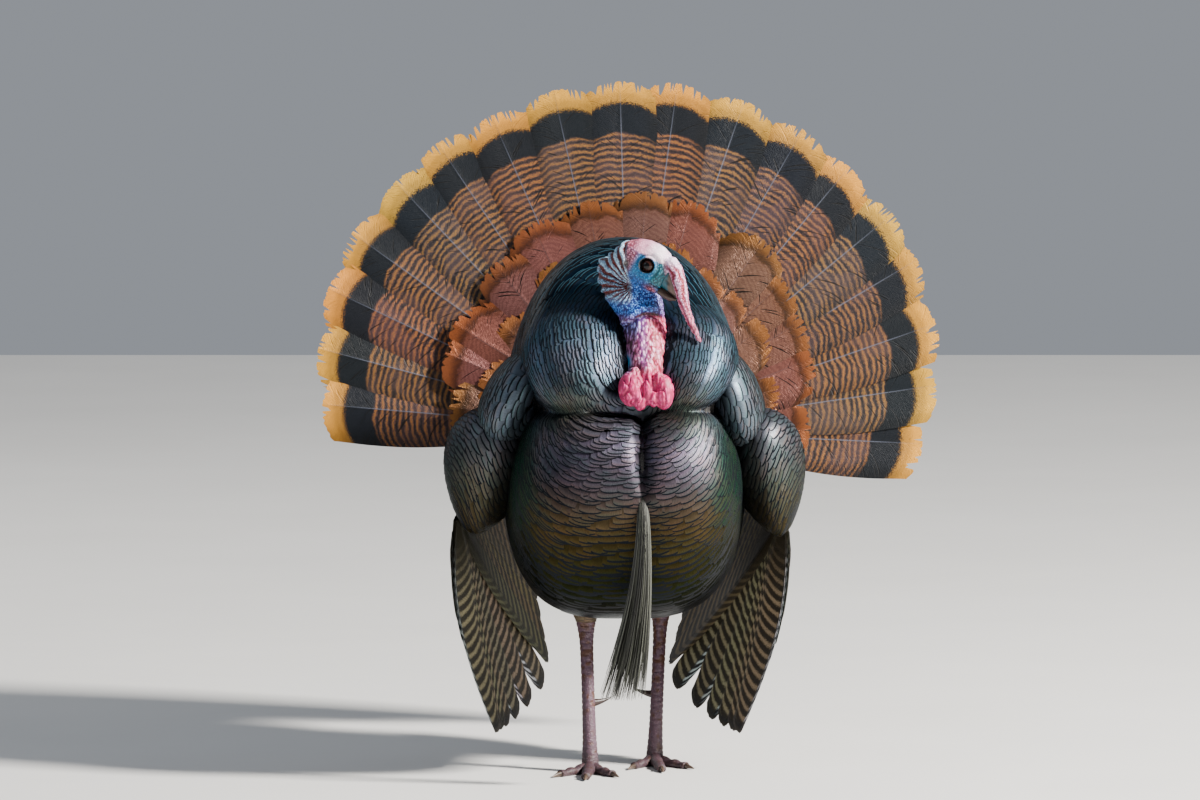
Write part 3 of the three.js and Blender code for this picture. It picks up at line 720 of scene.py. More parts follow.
@dataclass(frozen=True)
class Wire:
    """A number or colour on its way through a material's nodes; arithmetic on it adds nodes."""

    graph: "Graph"
    socket: bpy.types.NodeSocket

    def __add__(self, other: "Value") -> "Wire":
        """This and then another, added."""
        return self.graph.math("ADD", self, other)

    def __radd__(self, other: "Value") -> "Wire":
        """A number plus this."""
        return self.graph.math("ADD", other, self)

    def __sub__(self, other: "Value") -> "Wire":
        """This less another."""
        return self.graph.math("SUBTRACT", self, other)

    def __rsub__(self, other: "Value") -> "Wire":
        """A number less this."""
        return self.graph.math("SUBTRACT", other, self)

    def __mul__(self, other: "Value") -> "Wire":
        """This times another."""
        return self.graph.math("MULTIPLY", self, other)

    def __abs__(self) -> "Wire":
        """This without its sign."""
        return self.graph.math("ABSOLUTE", self)


Value = Wire | float | Sequence[float]


class Graph:
    """Writes the shader nodes of one material."""

    def __init__(self, name: str) -> None:
        """Starts a material with an empty Principled shader."""
        self.material = bpy.data.materials.new(name)
        self.material.use_nodes = True
        self.tree = self.material.node_tree
        self.tree.nodes.clear()
        self.shader = self.tree.nodes.new("ShaderNodeBsdfPrincipled")
        out = self.tree.nodes.new("ShaderNodeOutputMaterial")
        self.tree.links.new(self.shader.outputs[0], out.inputs[0])

    def put(self, socket: bpy.types.NodeSocket, value: Value) -> None:
        """Links a socket to a wire, or sets its number or colour."""
        if isinstance(value, Wire):
            self.tree.links.new(value.socket, socket)
        elif np.ndim(value):
            socket.default_value = [*value, 1.0][: len(socket.default_value)]
        else:
            socket.default_value = value

    def node(self, kind: str, inputs: dict[int | str, Value], **settings: object) -> list[Wire]:
        """Adds a node.

        Args:
            kind: Its type, without "ShaderNode".
            inputs: What goes into it, by name or number.
            settings: Its properties.

        Returns:
            Its outputs.
        """
        node = self.tree.nodes.new("ShaderNode" + kind)
        for name, value in settings.items():
            setattr(node, name, value)
        for key, value in inputs.items():
            self.put(node.inputs[key], value)
        return [Wire(self, socket) for socket in node.outputs]

    def set(self, **inputs: Value) -> None:
        """Sets inputs of the shader by name, with _ for a space."""
        for name, value in inputs.items():
            self.put(self.shader.inputs[name.replace("_", " ")], value)

    def math(self, operation: str, *values: Value) -> Wire:
        """One step of arithmetic."""
        return self.node("Math", dict(enumerate(values)), operation=operation)[0]

    def mix(self, share: Value, a: Value, b: Value, blend: str = "MIX") -> Wire:
        """The colour a where share is 0 and b, blended in, where it is 1."""
        return self.node("Mix", {0: share, 6: a, 7: b}, data_type="RGBA", blend_type=blend)[2]

    def times(self, a: Value, b: Value) -> Wire:
        """The product of two colours."""
        return self.mix(1.0, a, b, "MULTIPLY")

    def shade(self, colour: Value, value: Wire) -> Wire:
        """A colour times a number."""
        return self.times(colour, self.node("CombineColor", {0: value, 1: value, 2: value})[0])

    def step(self, value: Value, low: float, high: float, a: float = 0, b: float = 1) -> Wire:
        """Smoothly from a at low to b at high."""
        inputs = dict(enumerate((value, low, high, a, b)))
        return self.node("MapRange", inputs, interpolation_type="SMOOTHSTEP")[0]

    def noise(self, at: Wire, scale: float, detail: float = 3, rough: float = 0.55) -> Wire:
        """Fractal noise, 0 to 1."""
        inputs = {"Vector": at, "Scale": scale, "Detail": detail, "Roughness": rough}
        return self.node("TexNoise", inputs)[0]

    def cells(self, at: Wire, scale: float) -> Wire:
        """Distance to the nearest of scattered points, in cells."""
        return self.node("TexVoronoi", {"Vector": at, "Scale": scale})[0]

    def attribute(self, name: str) -> tuple[Wire, Wire]:
        """Colour and alpha of a colour attribute."""
        colour, _, _, alpha = self.node("Attribute", {}, attribute_name=name)
        return colour, alpha

    def parts(self, colour: Wire) -> list[Wire]:
        """Red, green and blue of a colour."""
        return self.node("SeparateColor", {0: colour})

    def vector(self, x: Value, y: Value, z: Value) -> Wire:
        """Three numbers as a vector."""
        return self.node("CombineXYZ", {0: x, 1: y, 2: z})[0]

    def map_place(self, name: str) -> list[Wire]:
        """The u and v of a UV map."""
        return self.node("SeparateXYZ", {0: self.node("UVMap", {}, uv_map=name)[0]})[:2]

    def place(self) -> Wire:
        """Object coordinates."""
        return self.node("TexCoord", {})[3]

    def stretched(self, at: Wire, z: float) -> Wire:
        """A vector with its height scaled."""
        return self.node("Mapping", {"Vector": at, "Scale": (1.0, 1.0, z)})[0]

    def bumps(self, height: Wire, distance: float, strength: float) -> None:
        """Lets a height, 0 to 1, bend the light over a real distance in metres."""
        inputs = {"Height": height, "Distance": distance, "Strength": strength}
        self.set(Normal=self.node("Bump", inputs)[0])


# ---- finishes


@dataclass(frozen=True)
class SheenPlumage:
    """Small body feathers: metallic vane, coppery band and black tip, with a pale edge if any: a buff edge on
    warm tints, a painted teal highlight on blue ones.
    """

    black: tuple = (0.006, 0.007, 0.010)
    edge: tuple = (0.16, 0.11, 0.07)
    copper: tuple = (0.34, 0.17, 0.10)
    green: tuple = (0.04, 0.22, 0.17)
    # painted highlight along the tips of blue feathers
    teal: tuple = (0.05, 0.16, 0.23)
    roughness: float = 0.45
    specular: tuple = (0.20, 0.27, 0.30, 1.0)

    def build(self) -> Material:
        """The material; it reads the map "vane" (in tenths of a metre) and "tint" and "mark"."""
        g = Graph("sheen_plumage")
        u, v = g.map_place("vane")
        tint, metal = g.attribute("tint")
        marks, gloss = g.attribute("mark")
        band, chance, fringe = g.parts(marks)
        wave = g.noise(g.place(), 34, 2)
        fine = g.noise(g.place(), 700, 2)
        barb = g.noise(g.vector(u * 190.0, v * 22.0, chance), 1.0, 2) - 0.5
        level = v * 100.0 + (fine - 0.5) * 0.8
        past = level - band * 10.0
        tip = g.step(past, 0.45, -0.25)
        glow = g.step(past, 4.0, 0.5)
        shine = g.step(wave + chance * 0.12, 0.42, 0.72)
        red, green, blue = g.parts(tint)
        depth = g.math("MINIMUM", green * 4.5, 1.0)
        hue = g.shade(g.mix(shine, self.green, self.copper), depth)
        # painted light on each blade: brighter just behind the black band, darker towards the root that the
        # row in front covers; broad mottling and the barbs vary it too
        light = (0.70 + wave * 0.5) * (1.0 + barb * 1.1) * g.step(past, 9.0, 1.0, 0.72, 1.25)
        base = g.mix(tip, g.shade(g.mix(glow * 0.26, tint, hue), light), self.black)
        # pale edge at each tip: buff where the tint is warm, a painted teal highlight where it is blue
        rim = g.step(level, 1.5, 0.6) * fringe
        base = g.mix(rim, base, g.mix(g.step(blue - red, 0.0, 0.01), self.edge, self.teal))
        rough = self.roughness + (fine - 0.5) * 0.22 - gloss
        g.set(Base_Color=base, Metallic=metal * (1.0 - tip * 0.5), Roughness=rough)
        g.set(Specular_IOR_Level=0.2, Specular_Tint=self.specular)
        g.bumps(barb * 2.0 + fine * 0.7, 0.0003, 0.35)
        return g.material


@dataclass(frozen=True)
class Barring:
    """Large feathers, patterned by the distance from tip and shaft.

    The marks are, from the tip: a tip band, a speckled edge, a black band and then broken bars of two
    colours; painted shade darkens slits along the barbs and the blade's edges, and where a middle tone
    is given a painted sheen lies over the bars. Colours are as seen on a screen.
    """

    name: str
    tip_colour: tuple
    tip: float  # millimetres of tip colour
    black: float  # millimetres of the black band behind it
    dark: tuple
    pale: tuple
    period: float  # of the bars
    pale_share: float
    slope: float  # how much the bars lean back towards the edge
    wobble: float
    shaft: tuple
    fade: tuple | None = None  # where the bars run out, from the tip
    beyond: tuple | None = None  # the colour there
    shaft_half: float = 1.0
    soft: float = 0.54
    roughness: float = 0.6
    metal: float = 0.0
    speckle: float = 0.5  # how broken the bars are
    slits: float = 0.25
    inner_dark: tuple | None = None  # the trailing vane, where it differs
    inner_pale: tuple | None = None
    middle: tuple | None = None  # a tone between the dark and the pale bars
    frays: float = 5.0  # how far the tip colour runs up the barbs
    blend: float = 0.22  # half width of the tip colour's edge, over the tip
    ink: tuple = (0.004, 0.006, 0.010)
    # colour of the slits: painted shade
    gap: tuple = (0.003, 0.003, 0.003)

    def build(self) -> Material:
        """The material; it reads the map "vane", in shares of 100 and 500 millimetres."""
        g = Graph(self.name)
        u, v = g.map_place("vane")
        tint, _ = g.attribute("tint")
        across = (u - 0.5) * 100.0
        side, along = abs(across), v * 500.0
        chance = g.parts(tint)[2] * 900.0  # another pattern on each feather
        at = g.vector(across, along, chance)
        barb = along + side * 0.9
        hairs = g.noise(g.vector(across * 0.22, barb * 1.6, chance), 1.0, 2)
        broad, fine = g.noise(at, 0.05, 2) - 0.5, g.noise(at, 0.5, 3) - 0.5
        grain = g.noise(at, 0.8, 3, 0.8)
        level = along + (broad * (self.wobble * 3) + fine * self.wobble)
        tip_colour, dark, pale = rgb(*self.tip_colour), rgb(*self.dark), rgb(*self.pale)
        lean = g.step(across, -0.5, 1.0, self.slope, 0.15) if self.inner_dark else self.slope
        wave = g.math("SINE", (level - side * lean) * (TURN / self.period))
        wave = wave + (grain - 0.5) * (self.speckle * 6)
        if self.inner_dark:
            inner = g.step(across, -0.5, 1.0)
            dark, pale = g.mix(inner, dark, rgb(*self.inner_dark)), g.mix(inner, pale, rgb(*self.inner_pale))
        if self.middle:
            middle = rgb(*self.middle)
            colour = g.mix(g.step(wave, 0.0, 0.7), middle, dark)
            colour = g.mix(g.step(wave, -0.35, -1.0), colour, pale)
            # painted sheen: patches of a paler middle tone, laid by noise
            painted_sheen = g.step(g.noise(at, 0.022, 1), 0.46, 0.62, 0.0, 0.35)
            colour = g.mix(painted_sheen, colour, g.times(middle, (1.3, 1.25, 1.4)))
        else:
            edge = math.cos(math.pi * self.pale_share)
            colour = g.mix(g.step(wave, edge - self.soft, edge + self.soft), dark, pale)
        if self.fade:
            colour = g.mix(g.step(along, *self.fade), colour, rgb(*self.beyond))
        last = self.tip + self.black
        colour = g.mix(g.step(level, last + 4, last - 1), colour, self.ink)
        dots = along + (grain - 0.5) * 30.0
        speck = g.step(dots, self.tip + 7.0, self.tip + 4.0) * 0.6 * min(self.black, 1.0)
        colour = g.mix(speck, colour, tip_colour)
        ragged = level + (hairs - 0.5) * self.frays
        tip_tone = g.shade(tip_colour, g.step(along, self.tip * 0.35, self.tip, 1.0, 0.62))
        ends = (self.tip * (0.9 + self.blend), self.tip * (0.9 - self.blend))
        colour = g.mix(g.step(ragged, *ends), colour, tip_tone)
        colour = g.times(g.shade(colour, hairs * 0.55 + (0.52 + grain * 0.4)), tint)
        # painted shade: darker towards the blade's edges, for the shadow where feathers overlap
        colour = g.shade(colour, g.step(side, 22, 42, 1.0, 0.62))
        # dark slits along the barbs: painted shade in the splits between them
        cracks = g.noise(g.vector(across * 0.03, barb * 0.42, chance), 1.0, 0)
        gash = g.step(cracks, 0.69, 0.74) * self.slits
        colour = g.mix(gash * g.step(along, self.tip, self.tip + 14), colour, self.gap)
        stem = g.step(side, self.shaft_half + 0.35, self.shaft_half - 0.35)
        stem = stem * g.step(along, self.tip * 0.5, last + 30, 0.15, 0.75)
        colour = g.mix(stem, colour, rgb(*self.shaft))
        rough = (self.roughness - 0.1) + hairs * 0.25
        g.set(Base_Color=colour, Roughness=rough, Metallic=self.metal, Specular_IOR_Level=0.25)
        g.bumps(hairs + gash * -1.0, 0.0007, 0.7)
        return g.material


@dataclass(frozen=True)
class LivingSkin:
    """Bare head, neck and leg skin: warts of one colour with another colour between them."""

    cell: float = 430  # warts to a metre
    # painted highlight on the top of each wart
    wart_highlight: tuple = (0.85, 0.82, 0.86)

    def build(self) -> Material:
        """The material; it reads "tint" (with the gloss) and "deep" (with the share of long warts)."""
        g = Graph("living_skin")
        tint, gloss = g.attribute("tint")
        deep, long = g.attribute("deep")
        strength = g.parts(g.attribute("wart")[0])[0]
        at = g.place()
        fine = g.noise(at, 1300, 3)
        swirl = g.node("TexNoise", {"Vector": at, "Scale": 300})[1]
        moved = g.node("VectorMath", {0: swirl, "Scale": 0.0018}, operation="SCALE")[0]
        bent = g.node("VectorMath", {0: at, 1: moved}, operation="ADD")[0]
        pair = g.cells(bent, self.cell), g.cells(g.stretched(bent, 0.36), self.cell * 0.72)
        cells = g.node("Mix", {0: long, 2: pair[0], 3: pair[1]}, data_type="FLOAT")[0]
        tops = g.shade(tint, 0.68 + g.noise(at, 240, 3) * 0.62)
        # painted highlight: whitish on the top of each wart
        tops = g.mix(g.step(cells, 0.30, 0.05) * (strength * 0.30), tops, self.wart_highlight)
        colour = g.mix(g.step(cells, 0.34, 0.62) * strength, tops, deep)
        rough = (0.52 + fine * 0.25) - gloss * 0.22
        g.set(Base_Color=colour, Roughness=rough, Subsurface_Weight=0.05, Subsurface_Scale=0.002)
        g.bumps(g.step(cells, 0.65, 0.1) * (strength + 0.15) + fine * 0.35, 0.0008, 0.7)
        return g.material


@dataclass(frozen=True)
class Horn:
    """Bill, claws and spurs: polished horn with growth lines along it."""

    lines: float = 520  # to a metre

    def build(self) -> Material:
        """The material; it reads the colour "tint"."""
        g = Graph("horn")
        streak = g.noise(g.stretched(g.place(), 0.35), self.lines, 3)
        colour = g.shade(g.attribute("tint")[0], 0.6 + streak * 0.8)
        g.set(Base_Color=colour, Roughness=0.28 + g.noise(g.place(), 1800, 2) * 0.2)
        g.bumps(streak, 0.0003, 0.5)
        return g.material


@dataclass(frozen=True)
class WetEye:
    """The eye: smooth and wet, with faint fibres in its colours."""

    fibres: float = 1600  # to a metre

    def build(self) -> Material:
        """The material; it reads the colour "tint"."""
        g = Graph("wet_eye")
        colour = g.shade(g.attribute("tint")[0], 0.7 + g.noise(g.place(), self.fibres, 3) * 0.6)
        g.set(Base_Color=colour, Roughness=0.07, Specular_IOR_Level=0.3)
        return g.material


@dataclass(frozen=True)
class Bristles:
    """The beard: black hair, streaked along its length."""

    streaks: float = 900  # to a metre

    def build(self) -> Material:
        """The material; it reads the colour "tint"."""
        g = Graph("bristles")
        streak = g.noise(g.stretched(g.place(), 0.1), self.streaks, 2)
        colour = g.shade(g.attribute("tint")[0], 0.5 + streak)
        g.set(Base_Color=colour, Roughness=0.3 + streak * 0.25)
        g.bumps(streak, 0.0003, 0.4)
        return g.material


# ---- workshop


@dataclass
class Workshop:
    """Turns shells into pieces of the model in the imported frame."""

    shift: Array
    faces: int = 0

    def mesh(self, name: str, shell: Shell) -> bpy.types.Mesh:
        """A mesh in metres, with its maps and colours."""
        mesh = bpy.data.meshes.new(name)
        loops = np.concatenate([shell.quads.ravel(), shell.tris.ravel()]).astype(np.int32)
        sizes = np.repeat([4, 3], [len(shell.quads), len(shell.tris)])
        mesh.vertices.add(len(shell.points))
        mesh.vertices.foreach_set("co", ((shell.points + self.shift) / 1000).astype(np.float32).ravel())
        mesh.loops.add(len(loops))
        mesh.loops.foreach_set("vertex_index", loops)
        mesh.polygons.add(len(sizes))
        starts = np.concatenate([[0], np.cumsum(sizes)[:-1]]).astype(np.int32)
        mesh.polygons.foreach_set("loop_start", starts)
        mesh.polygons.foreach_set("use_smooth", np.ones(len(sizes), bool))
        mesh.update(calc_edges=True)
        for key, places in shell.uvs.items():
            layer = mesh.uv_layers.new(name=key)
            layer.uv.foreach_set("vector", places[loops].astype(np.float32).ravel())
        for key, colours in shell.tints.items():
            self.colour(mesh, key, colours)
        if "OFBake" in shell.uvs:  # keeps the two sides of a thin blade apart in the shading
            mesh.set_sharp_from_angle(angle=math.radians(60))
        return mesh

    @staticmethod
    def colour(mesh: bpy.types.Mesh, name: str, values: Array) -> None:
        """Gives a mesh a layer of colours (n, 4), one for each point."""
        layer = mesh.color_attributes.new(name, "FLOAT_COLOR", "POINT")
        layer.data.foreach_set("color", values.astype(np.float32).ravel())

    def loose(self, name: str, shell: Shell) -> Object:
        """An object in the scene that is not yet a piece."""
        obj = bpy.data.objects.new(name, self.mesh(name, shell))
        bpy.context.scene.collection.objects.link(obj)
        return obj

    def piece(
        self, name: str, shell: Shell, finish: Material, slot: Slot, nodes: Sequence[str] = ()
    ) -> Object:
        """Makes a piece of a shell and hands it over.

        Args:
            name: The piece's name.
            shell: Its shape, in the maker's millimetres.
            finish: Its material.
            slot: The slot that the finish stands for; not used.
            nodes: The solids that the piece replaces.

        Returns:
            The piece.
        """
        return self.hand_over(self.loose(name, shell), finish, nodes)

    def hand_over(
        self, obj: Object, finish: Material, nodes: Sequence[str]
    ) -> Object:
        """Gives an object its material and body, and hides the solids it stands for."""
        obj.data.materials.clear()
        obj.data.materials.append(finish)
        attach(obj, "root")
        if nodes:
            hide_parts(*nodes)
        triangles = len(obj.data.loops) - 2 * len(obj.data.polygons)
        self.faces += triangles
        LOG.info("%-24s %7d triangles", obj.name, triangles)
        return obj

    def applied(self, obj: Object) -> Object:
        """Swaps an object's mesh for the result of its modifiers."""
        graph = bpy.context.evaluated_depsgraph_get()
        mesh = bpy.data.meshes.new_from_object(obj.evaluated_get(graph))
        obj.modifiers.clear()
        obj.data = mesh
        return obj

    @staticmethod
    def read(obj: Object, key: str) -> Array:
        """One kind of vector ("co" or "normal") at each of an object's points."""
        flat = np.empty(len(obj.data.vertices) * 3, np.float32)
        obj.data.vertices.foreach_get(key, flat)
        return flat.reshape(-1, 3).astype(float)

    def points_of(self, obj: Object) -> Array:
        """An object's points in the maker's millimetres."""
        return self.read(obj, "co") * 1000 - self.shift

    def move_points(self, obj: Object, points: Array) -> None:
        """Puts an object's points at these places, in the maker's millimetres."""
        places = ((points + self.shift) / 1000).astype(np.float32)
        obj.data.vertices.foreach_set("co", places.ravel())
        obj.data.update()

    def union(self, base: Object, others: Iterable[Object]) -> Object:
        """Joins closed objects to base, leaving one outer skin."""
        for other in others:
            cut = base.modifiers.new("join", "BOOLEAN")
            cut.operation = "UNION"
            cut.solver = "MANIFOLD"
            cut.object = other
            self.applied(base)
            bpy.data.objects.remove(other)
        return base


# ---- head and neck


@dataclass(frozen=True)
class Outline:
    """A lofted piece of the head: its top, bottom and half width at even steps along it."""

    first: float
    last: float
    top: tuple
    bottom: tuple
    half_width: tuple
    power: float = 2.4


@dataclass(frozen=True)
class Head:
    """The bare head, neck, snood and caruncles, with the bill and the eyes.

    The head's own axes are along the bill, up over the crown, and towards the right cheek.
    """

    origin: tuple = (37.8, -180, 622)
    yaw: float = 65
    pitch: float = 30
    skull: Outline = Outline(
        -52, 24,
        (-14, 6, 15, 20, 23.5, 25, 24, 19.5, 10),
        (-34, -42, -43, -41, -38, -35, -31, -28.5, -26),
        (9, 17, 20.5, 21.5, 21, 19.5, 18, 15, 11.5),
        2.2,
    )
    upper: Outline = Outline(
        24.3, 51.5, (9.5, 6.5, 2, -4, -11, -19), (-17, -17.5, -18, -18.2, -18.5, -20.5),
        (11, 9.5, 8, 6.3, 4.2, 1.2),
    )
    lower: Outline = Outline(
        24.3, 46, (-17.6, -18.1, -18.6, -18.8, -19.2), (-26, -26.5, -26.3, -25.3, -22.5),
        (10, 8.6, 7.2, 5.4, 2.4),
    )
    eye_radius: float = 8.5
    eye_out: float = 11.8
    neck: tuple = (
        (-4, 4, 15, 24, 30, 32, 33, 33),
        (-151, -153, -159, -168, -177, -186, -192, -190),
        (626, 604, 580, 558, 536, 514, 490, 462),
        (22, 31, 33, 27, 25, 25.5, 25, 24),
        (22, 26, 27, 25, 24, 24, 24, 23),
    )
    snood: tuple = (
        (55, 64, 69.5, 74.5, 83, 94),
        (-188, -196, -200, -200, -199, -199),
        (631, 617, 599, 575, 553, 531),
        (8.5, 8.6, 7.8, 5.8, 4.2, 2.6),
    )
    caruncles: tuple = (
        ((12, -221, 478), (16, 13.5, 21.5)),
        ((22, -225, 463), (8, 9, 11)),
        ((31, -221, 477), (7.5, 12, 19)),
        ((38, -223, 468), (6.5, 10, 12)),
        ((50, -221, 474), (12.5, 13.5, 21)),
        ((44, -222, 488), (7, 9, 11)),
        ((16, -219, 494), (8, 8, 10)),
        ((30, -219, 498), (7, 8, 12)),
    )
    voxel: float = 0.00103

    @property
    def axes(self) -> Array:
        """Rows: along the bill, up and to the right cheek."""
        yaw, pitch = math.radians(self.yaw), math.radians(self.pitch)
        ahead = np.array([
            math.cos(pitch) * math.sin(yaw), -math.cos(pitch) * math.cos(yaw), -math.sin(pitch),
        ])
        up = np.array([0, 0, 1.0]) - ahead[2] * ahead
        up /= np.linalg.norm(up)
        return np.array([ahead, up, np.cross(ahead, up)])

    def from_own(self, along: Array, up: Array, right: Array) -> Array:
        """Points from the head's own axes."""
        own = np.stack(np.broadcast_arrays(along, up, right), axis=-1).astype(float)
        return own @ self.axes + self.origin

    def to_own(self, p: Array) -> Array:
        """(3, n) along, up and right of points."""
        return self.axes @ (p - self.origin).T

    def loft(self, shape: Outline, rows: int, columns: int, grow: float = 0.0) -> Shell:
        """The closed loft of an outline; a section is a superellipse between top and bottom."""

        def place(t: Array, angle: Array) -> Array:
            """A point of the loft."""
            along = shape.first - grow + (shape.last - shape.first + 2 * grow) * t
            top, bottom = spline(shape.top, t) + grow, spline(shape.bottom, t) - grow
            up = (top + bottom) / 2 + (top - bottom) / 2 * rounded(np.cos(angle), shape.power)
            wide = (spline(shape.half_width, t) + grow) * rounded(np.sin(angle), shape.power)
            return self.from_own(along, up, wide)

        return tube(place, rows, columns)

    def neck_place(self, t: Array, angle: Array) -> Array:
        """The neck: level ellipses down a bent middle line."""
        x, y, z, half_x, half_y = (spline(s, t) for s in self.neck)
        return np.stack([x, y, z], axis=1) + ellipse(half_x, half_y, angle)

    def snood_place(self, t: Array, angle: Array) -> Array:
        """The snood: level ellipses down its line, ringed by soft wrinkles, round at the tip."""
        x, y, z, radius = (spline(s, t) for s in self.snood)
        radius = radius * (1 + 0.07 * np.sin(t * 150)) * np.sqrt(1 - ramp(t, 0.93, 1.01) * 0.95)
        return np.stack([x, y, z], axis=1) + ellipse(radius, 1.1 * radius, angle)

    def flesh(self, shop: Workshop) -> Object:
        """Head, neck, snood and caruncles blended into one closed skin, then wrinkled."""
        shells = [
            self.loft(self.skull, 70, 80),
            tube(self.neck_place, 80, 72),
            tube(self.snood_place, 150, 22),
            *(tube(Lobe(centre, half).place, 20, 26) for centre, half in self.caruncles),
        ]
        obj = shop.loose("head_flesh", join(shells))
        remesh = obj.modifiers.new("blend", "REMESH")
        remesh.mode = "VOXEL"
        remesh.voxel_size = self.voxel
        remesh.adaptivity = 0.0
        soften = obj.modifiers.new("soften", "SMOOTH")
        soften.factor = 0.6
        soften.iterations = 5
        shop.applied(obj)
        p = shop.points_of(obj)
        shop.move_points(obj, p + shop.read(obj, "normal") * self.wrinkles(p)[:, None])
        return obj

    def eye_distance(self, p: Array) -> Array:
        """Distance from the nearer eye's axis; far away for points near the middle of the head."""
        along, up, right = self.to_own(p)
        return np.hypot(along, up) + 40 * ramp(np.abs(right), 9, 5)

    def nape(self, p: Array) -> Array:
        """1 on the folded skin behind the ear, 0 elsewhere."""
        along, up, _ = self.to_own(p)
        seen = 0.785 * along + 0.453 * up
        return ramp(seen + 0.12 * (up + 20), -20, -25) * ramp(p[:, 2], 572, 588)

    def ear(self, p: Array, wide: float, tall: float) -> Array:
        """1 in the ear openings of this size."""
        along, up, right = self.to_own(p)
        return bump(np.hypot((along + 24) / wide, (up + 12) / tall)) * ramp(np.abs(right), 8, 12)

    def gape(self, p: Array, half: float, first: float) -> Array:
        """1 in the line of the mouth, of this half width, behind the bill."""
        along, up, _ = self.to_own(p)
        return bump((up + 17.9 + 0.03 * along) / half) * ramp(along, first, first + 4) * ramp(along, 32, 28)

    @staticmethod
    def hood_height(p: Array) -> Array:
        """The height at which the blue skin of the head ends over the red neck."""
        return 566 - 0.02 * (p[:, 0] - 32) ** 2

    def fold_lines(self, p: Array) -> Array:
        """A wave, -1 to 1, across the folds that fan out backwards from under the cheek."""
        along, up, _ = self.to_own(p)
        turn = np.arctan2(up + 33, -(along + 4))
        return np.sin(TURN * 4.2 * turn + 1.5 * noise(p, 9, 5))

    def wrinkles(self, p: Array) -> Array:
        """How far the skin stands out or sinks at each point.

        Sum of: lids and orbit round the eyes, ear opening, corner of the mouth, folds of the nape,
        the hood of skin over the red neck, lengthwise warts down the neck, and fine papillae.
        """
        up = self.to_own(p)[1]
        eye = self.eye_distance(p)
        lids = 1.7 * bump((eye - 10.0) / 1.3) - 1.5 * bump((eye - 13.5) / 2.4) - 5 * ramp(eye, 8.8, 7.4)
        ear = -2.4 * self.ear(p, 3.2, 4.6)
        gape = -1.8 * self.gape(p, 1.1, 10)
        folds = 1.7 * self.fold_lines(p) * self.nape(p)
        z = p[:, 2]
        front = ramp(p[:, 1], -165, -185) * ramp(p[:, 0], 64, 58)
        hood_z = self.hood_height(p)
        hood = front * (4.2 * bump((z - hood_z - 5) / 4) - 3.2 * bump((z - hood_z + 3) / 3))
        neck = ramp(z, 572, 560)
        lump = self.lump(p)
        warts = 1 - nearest_seed(p, (4.6, 4.6, 9.5), 3) / 0.75
        warts = neck * (1 - 0.9 * lump) * 1.9 * (np.clip(warts, -0.4, 1) - 0.3)
        head = 1 - neck
        papillae = (1 - nearest_seed(p, 3.4, 8) / 0.7) * 0.8 * head * ramp(up, 2, -10)
        papillae *= ramp(eye, 12, 17)
        crown = 0.8 * noise(p, (7, 7, 5), 21) * head * ramp(up, 2, 12) * ramp(eye, 11, 15)
        creases = -2.4 * lump * bump(noise(p, (7, 8, 12), 31) / 0.14)
        cords = 0.5 * self.cords(p) * self.snood_share(p) * ramp(z, 535, 560)
        return lids + ear + gape + folds + hood + warts + papillae + crown + creases + cords

    @staticmethod
    def beside(line: tuple, p: Array) -> list[Array]:
        """The stations of a hanging line (its x, y, z and sizes) level with each point."""
        t = np.interp(-p[:, 2], -np.array(line[2], float), np.linspace(0, 1, len(line[2])))
        return [spline(stations, t) for stations in line]

    def cords(self, p: Array) -> Array:
        """A wave, -1 to 1, round the snood, giving it lengthwise cords."""
        x, y, _, _ = self.beside(self.snood, p)
        around = np.arctan2(p[:, 1] - y, p[:, 0] - x)
        return np.sin(6 * around + 2.2 * noise(p, 9, 55))

    @staticmethod
    def lump(p: Array) -> Array:
        """1 on the smooth caruncles at the foot of the neck."""
        return ramp(p[:, 2], 502, 492) * ramp(p[:, 1], -202, -209)

    def paint(self, p: Array) -> tuple[Array, Array, Array]:
        """The skin's colours from its place on the head and neck.

        Regions are laid over one another, each with a soft mask and three values: the colour of its
        warts, the colour between them, and how strongly they show.

        Args:
            p: (n, 3) places.

        Returns:
            (n, 3) warts, (n, 3) between them and (n,) strength.
        """
        along, up, _ = self.to_own(p)
        eye = self.eye_distance(p)
        mottle = noise(p, 4.5, 41)
        tops = np.broadcast_to(rgb(0.10, 0.48, 0.72), p.shape).copy()
        gaps = np.broadcast_to(rgb(0.02, 0.16, 0.38), p.shape).copy()
        strength = np.full(len(p), 0.75)

        def lay(mask: Array, top: tuple, gap: tuple | None = None, wart: float | None = None) -> None:
            """Lays one region over the others."""
            share = np.clip(mask, 0, 1)
            tops[:] += (rgb(*top) - tops) * share[:, None]
            if gap is not None:
                gaps[:] += (rgb(*gap) - gaps) * share[:, None]
            if wart is not None:
                strength[:] += (wart - strength) * share

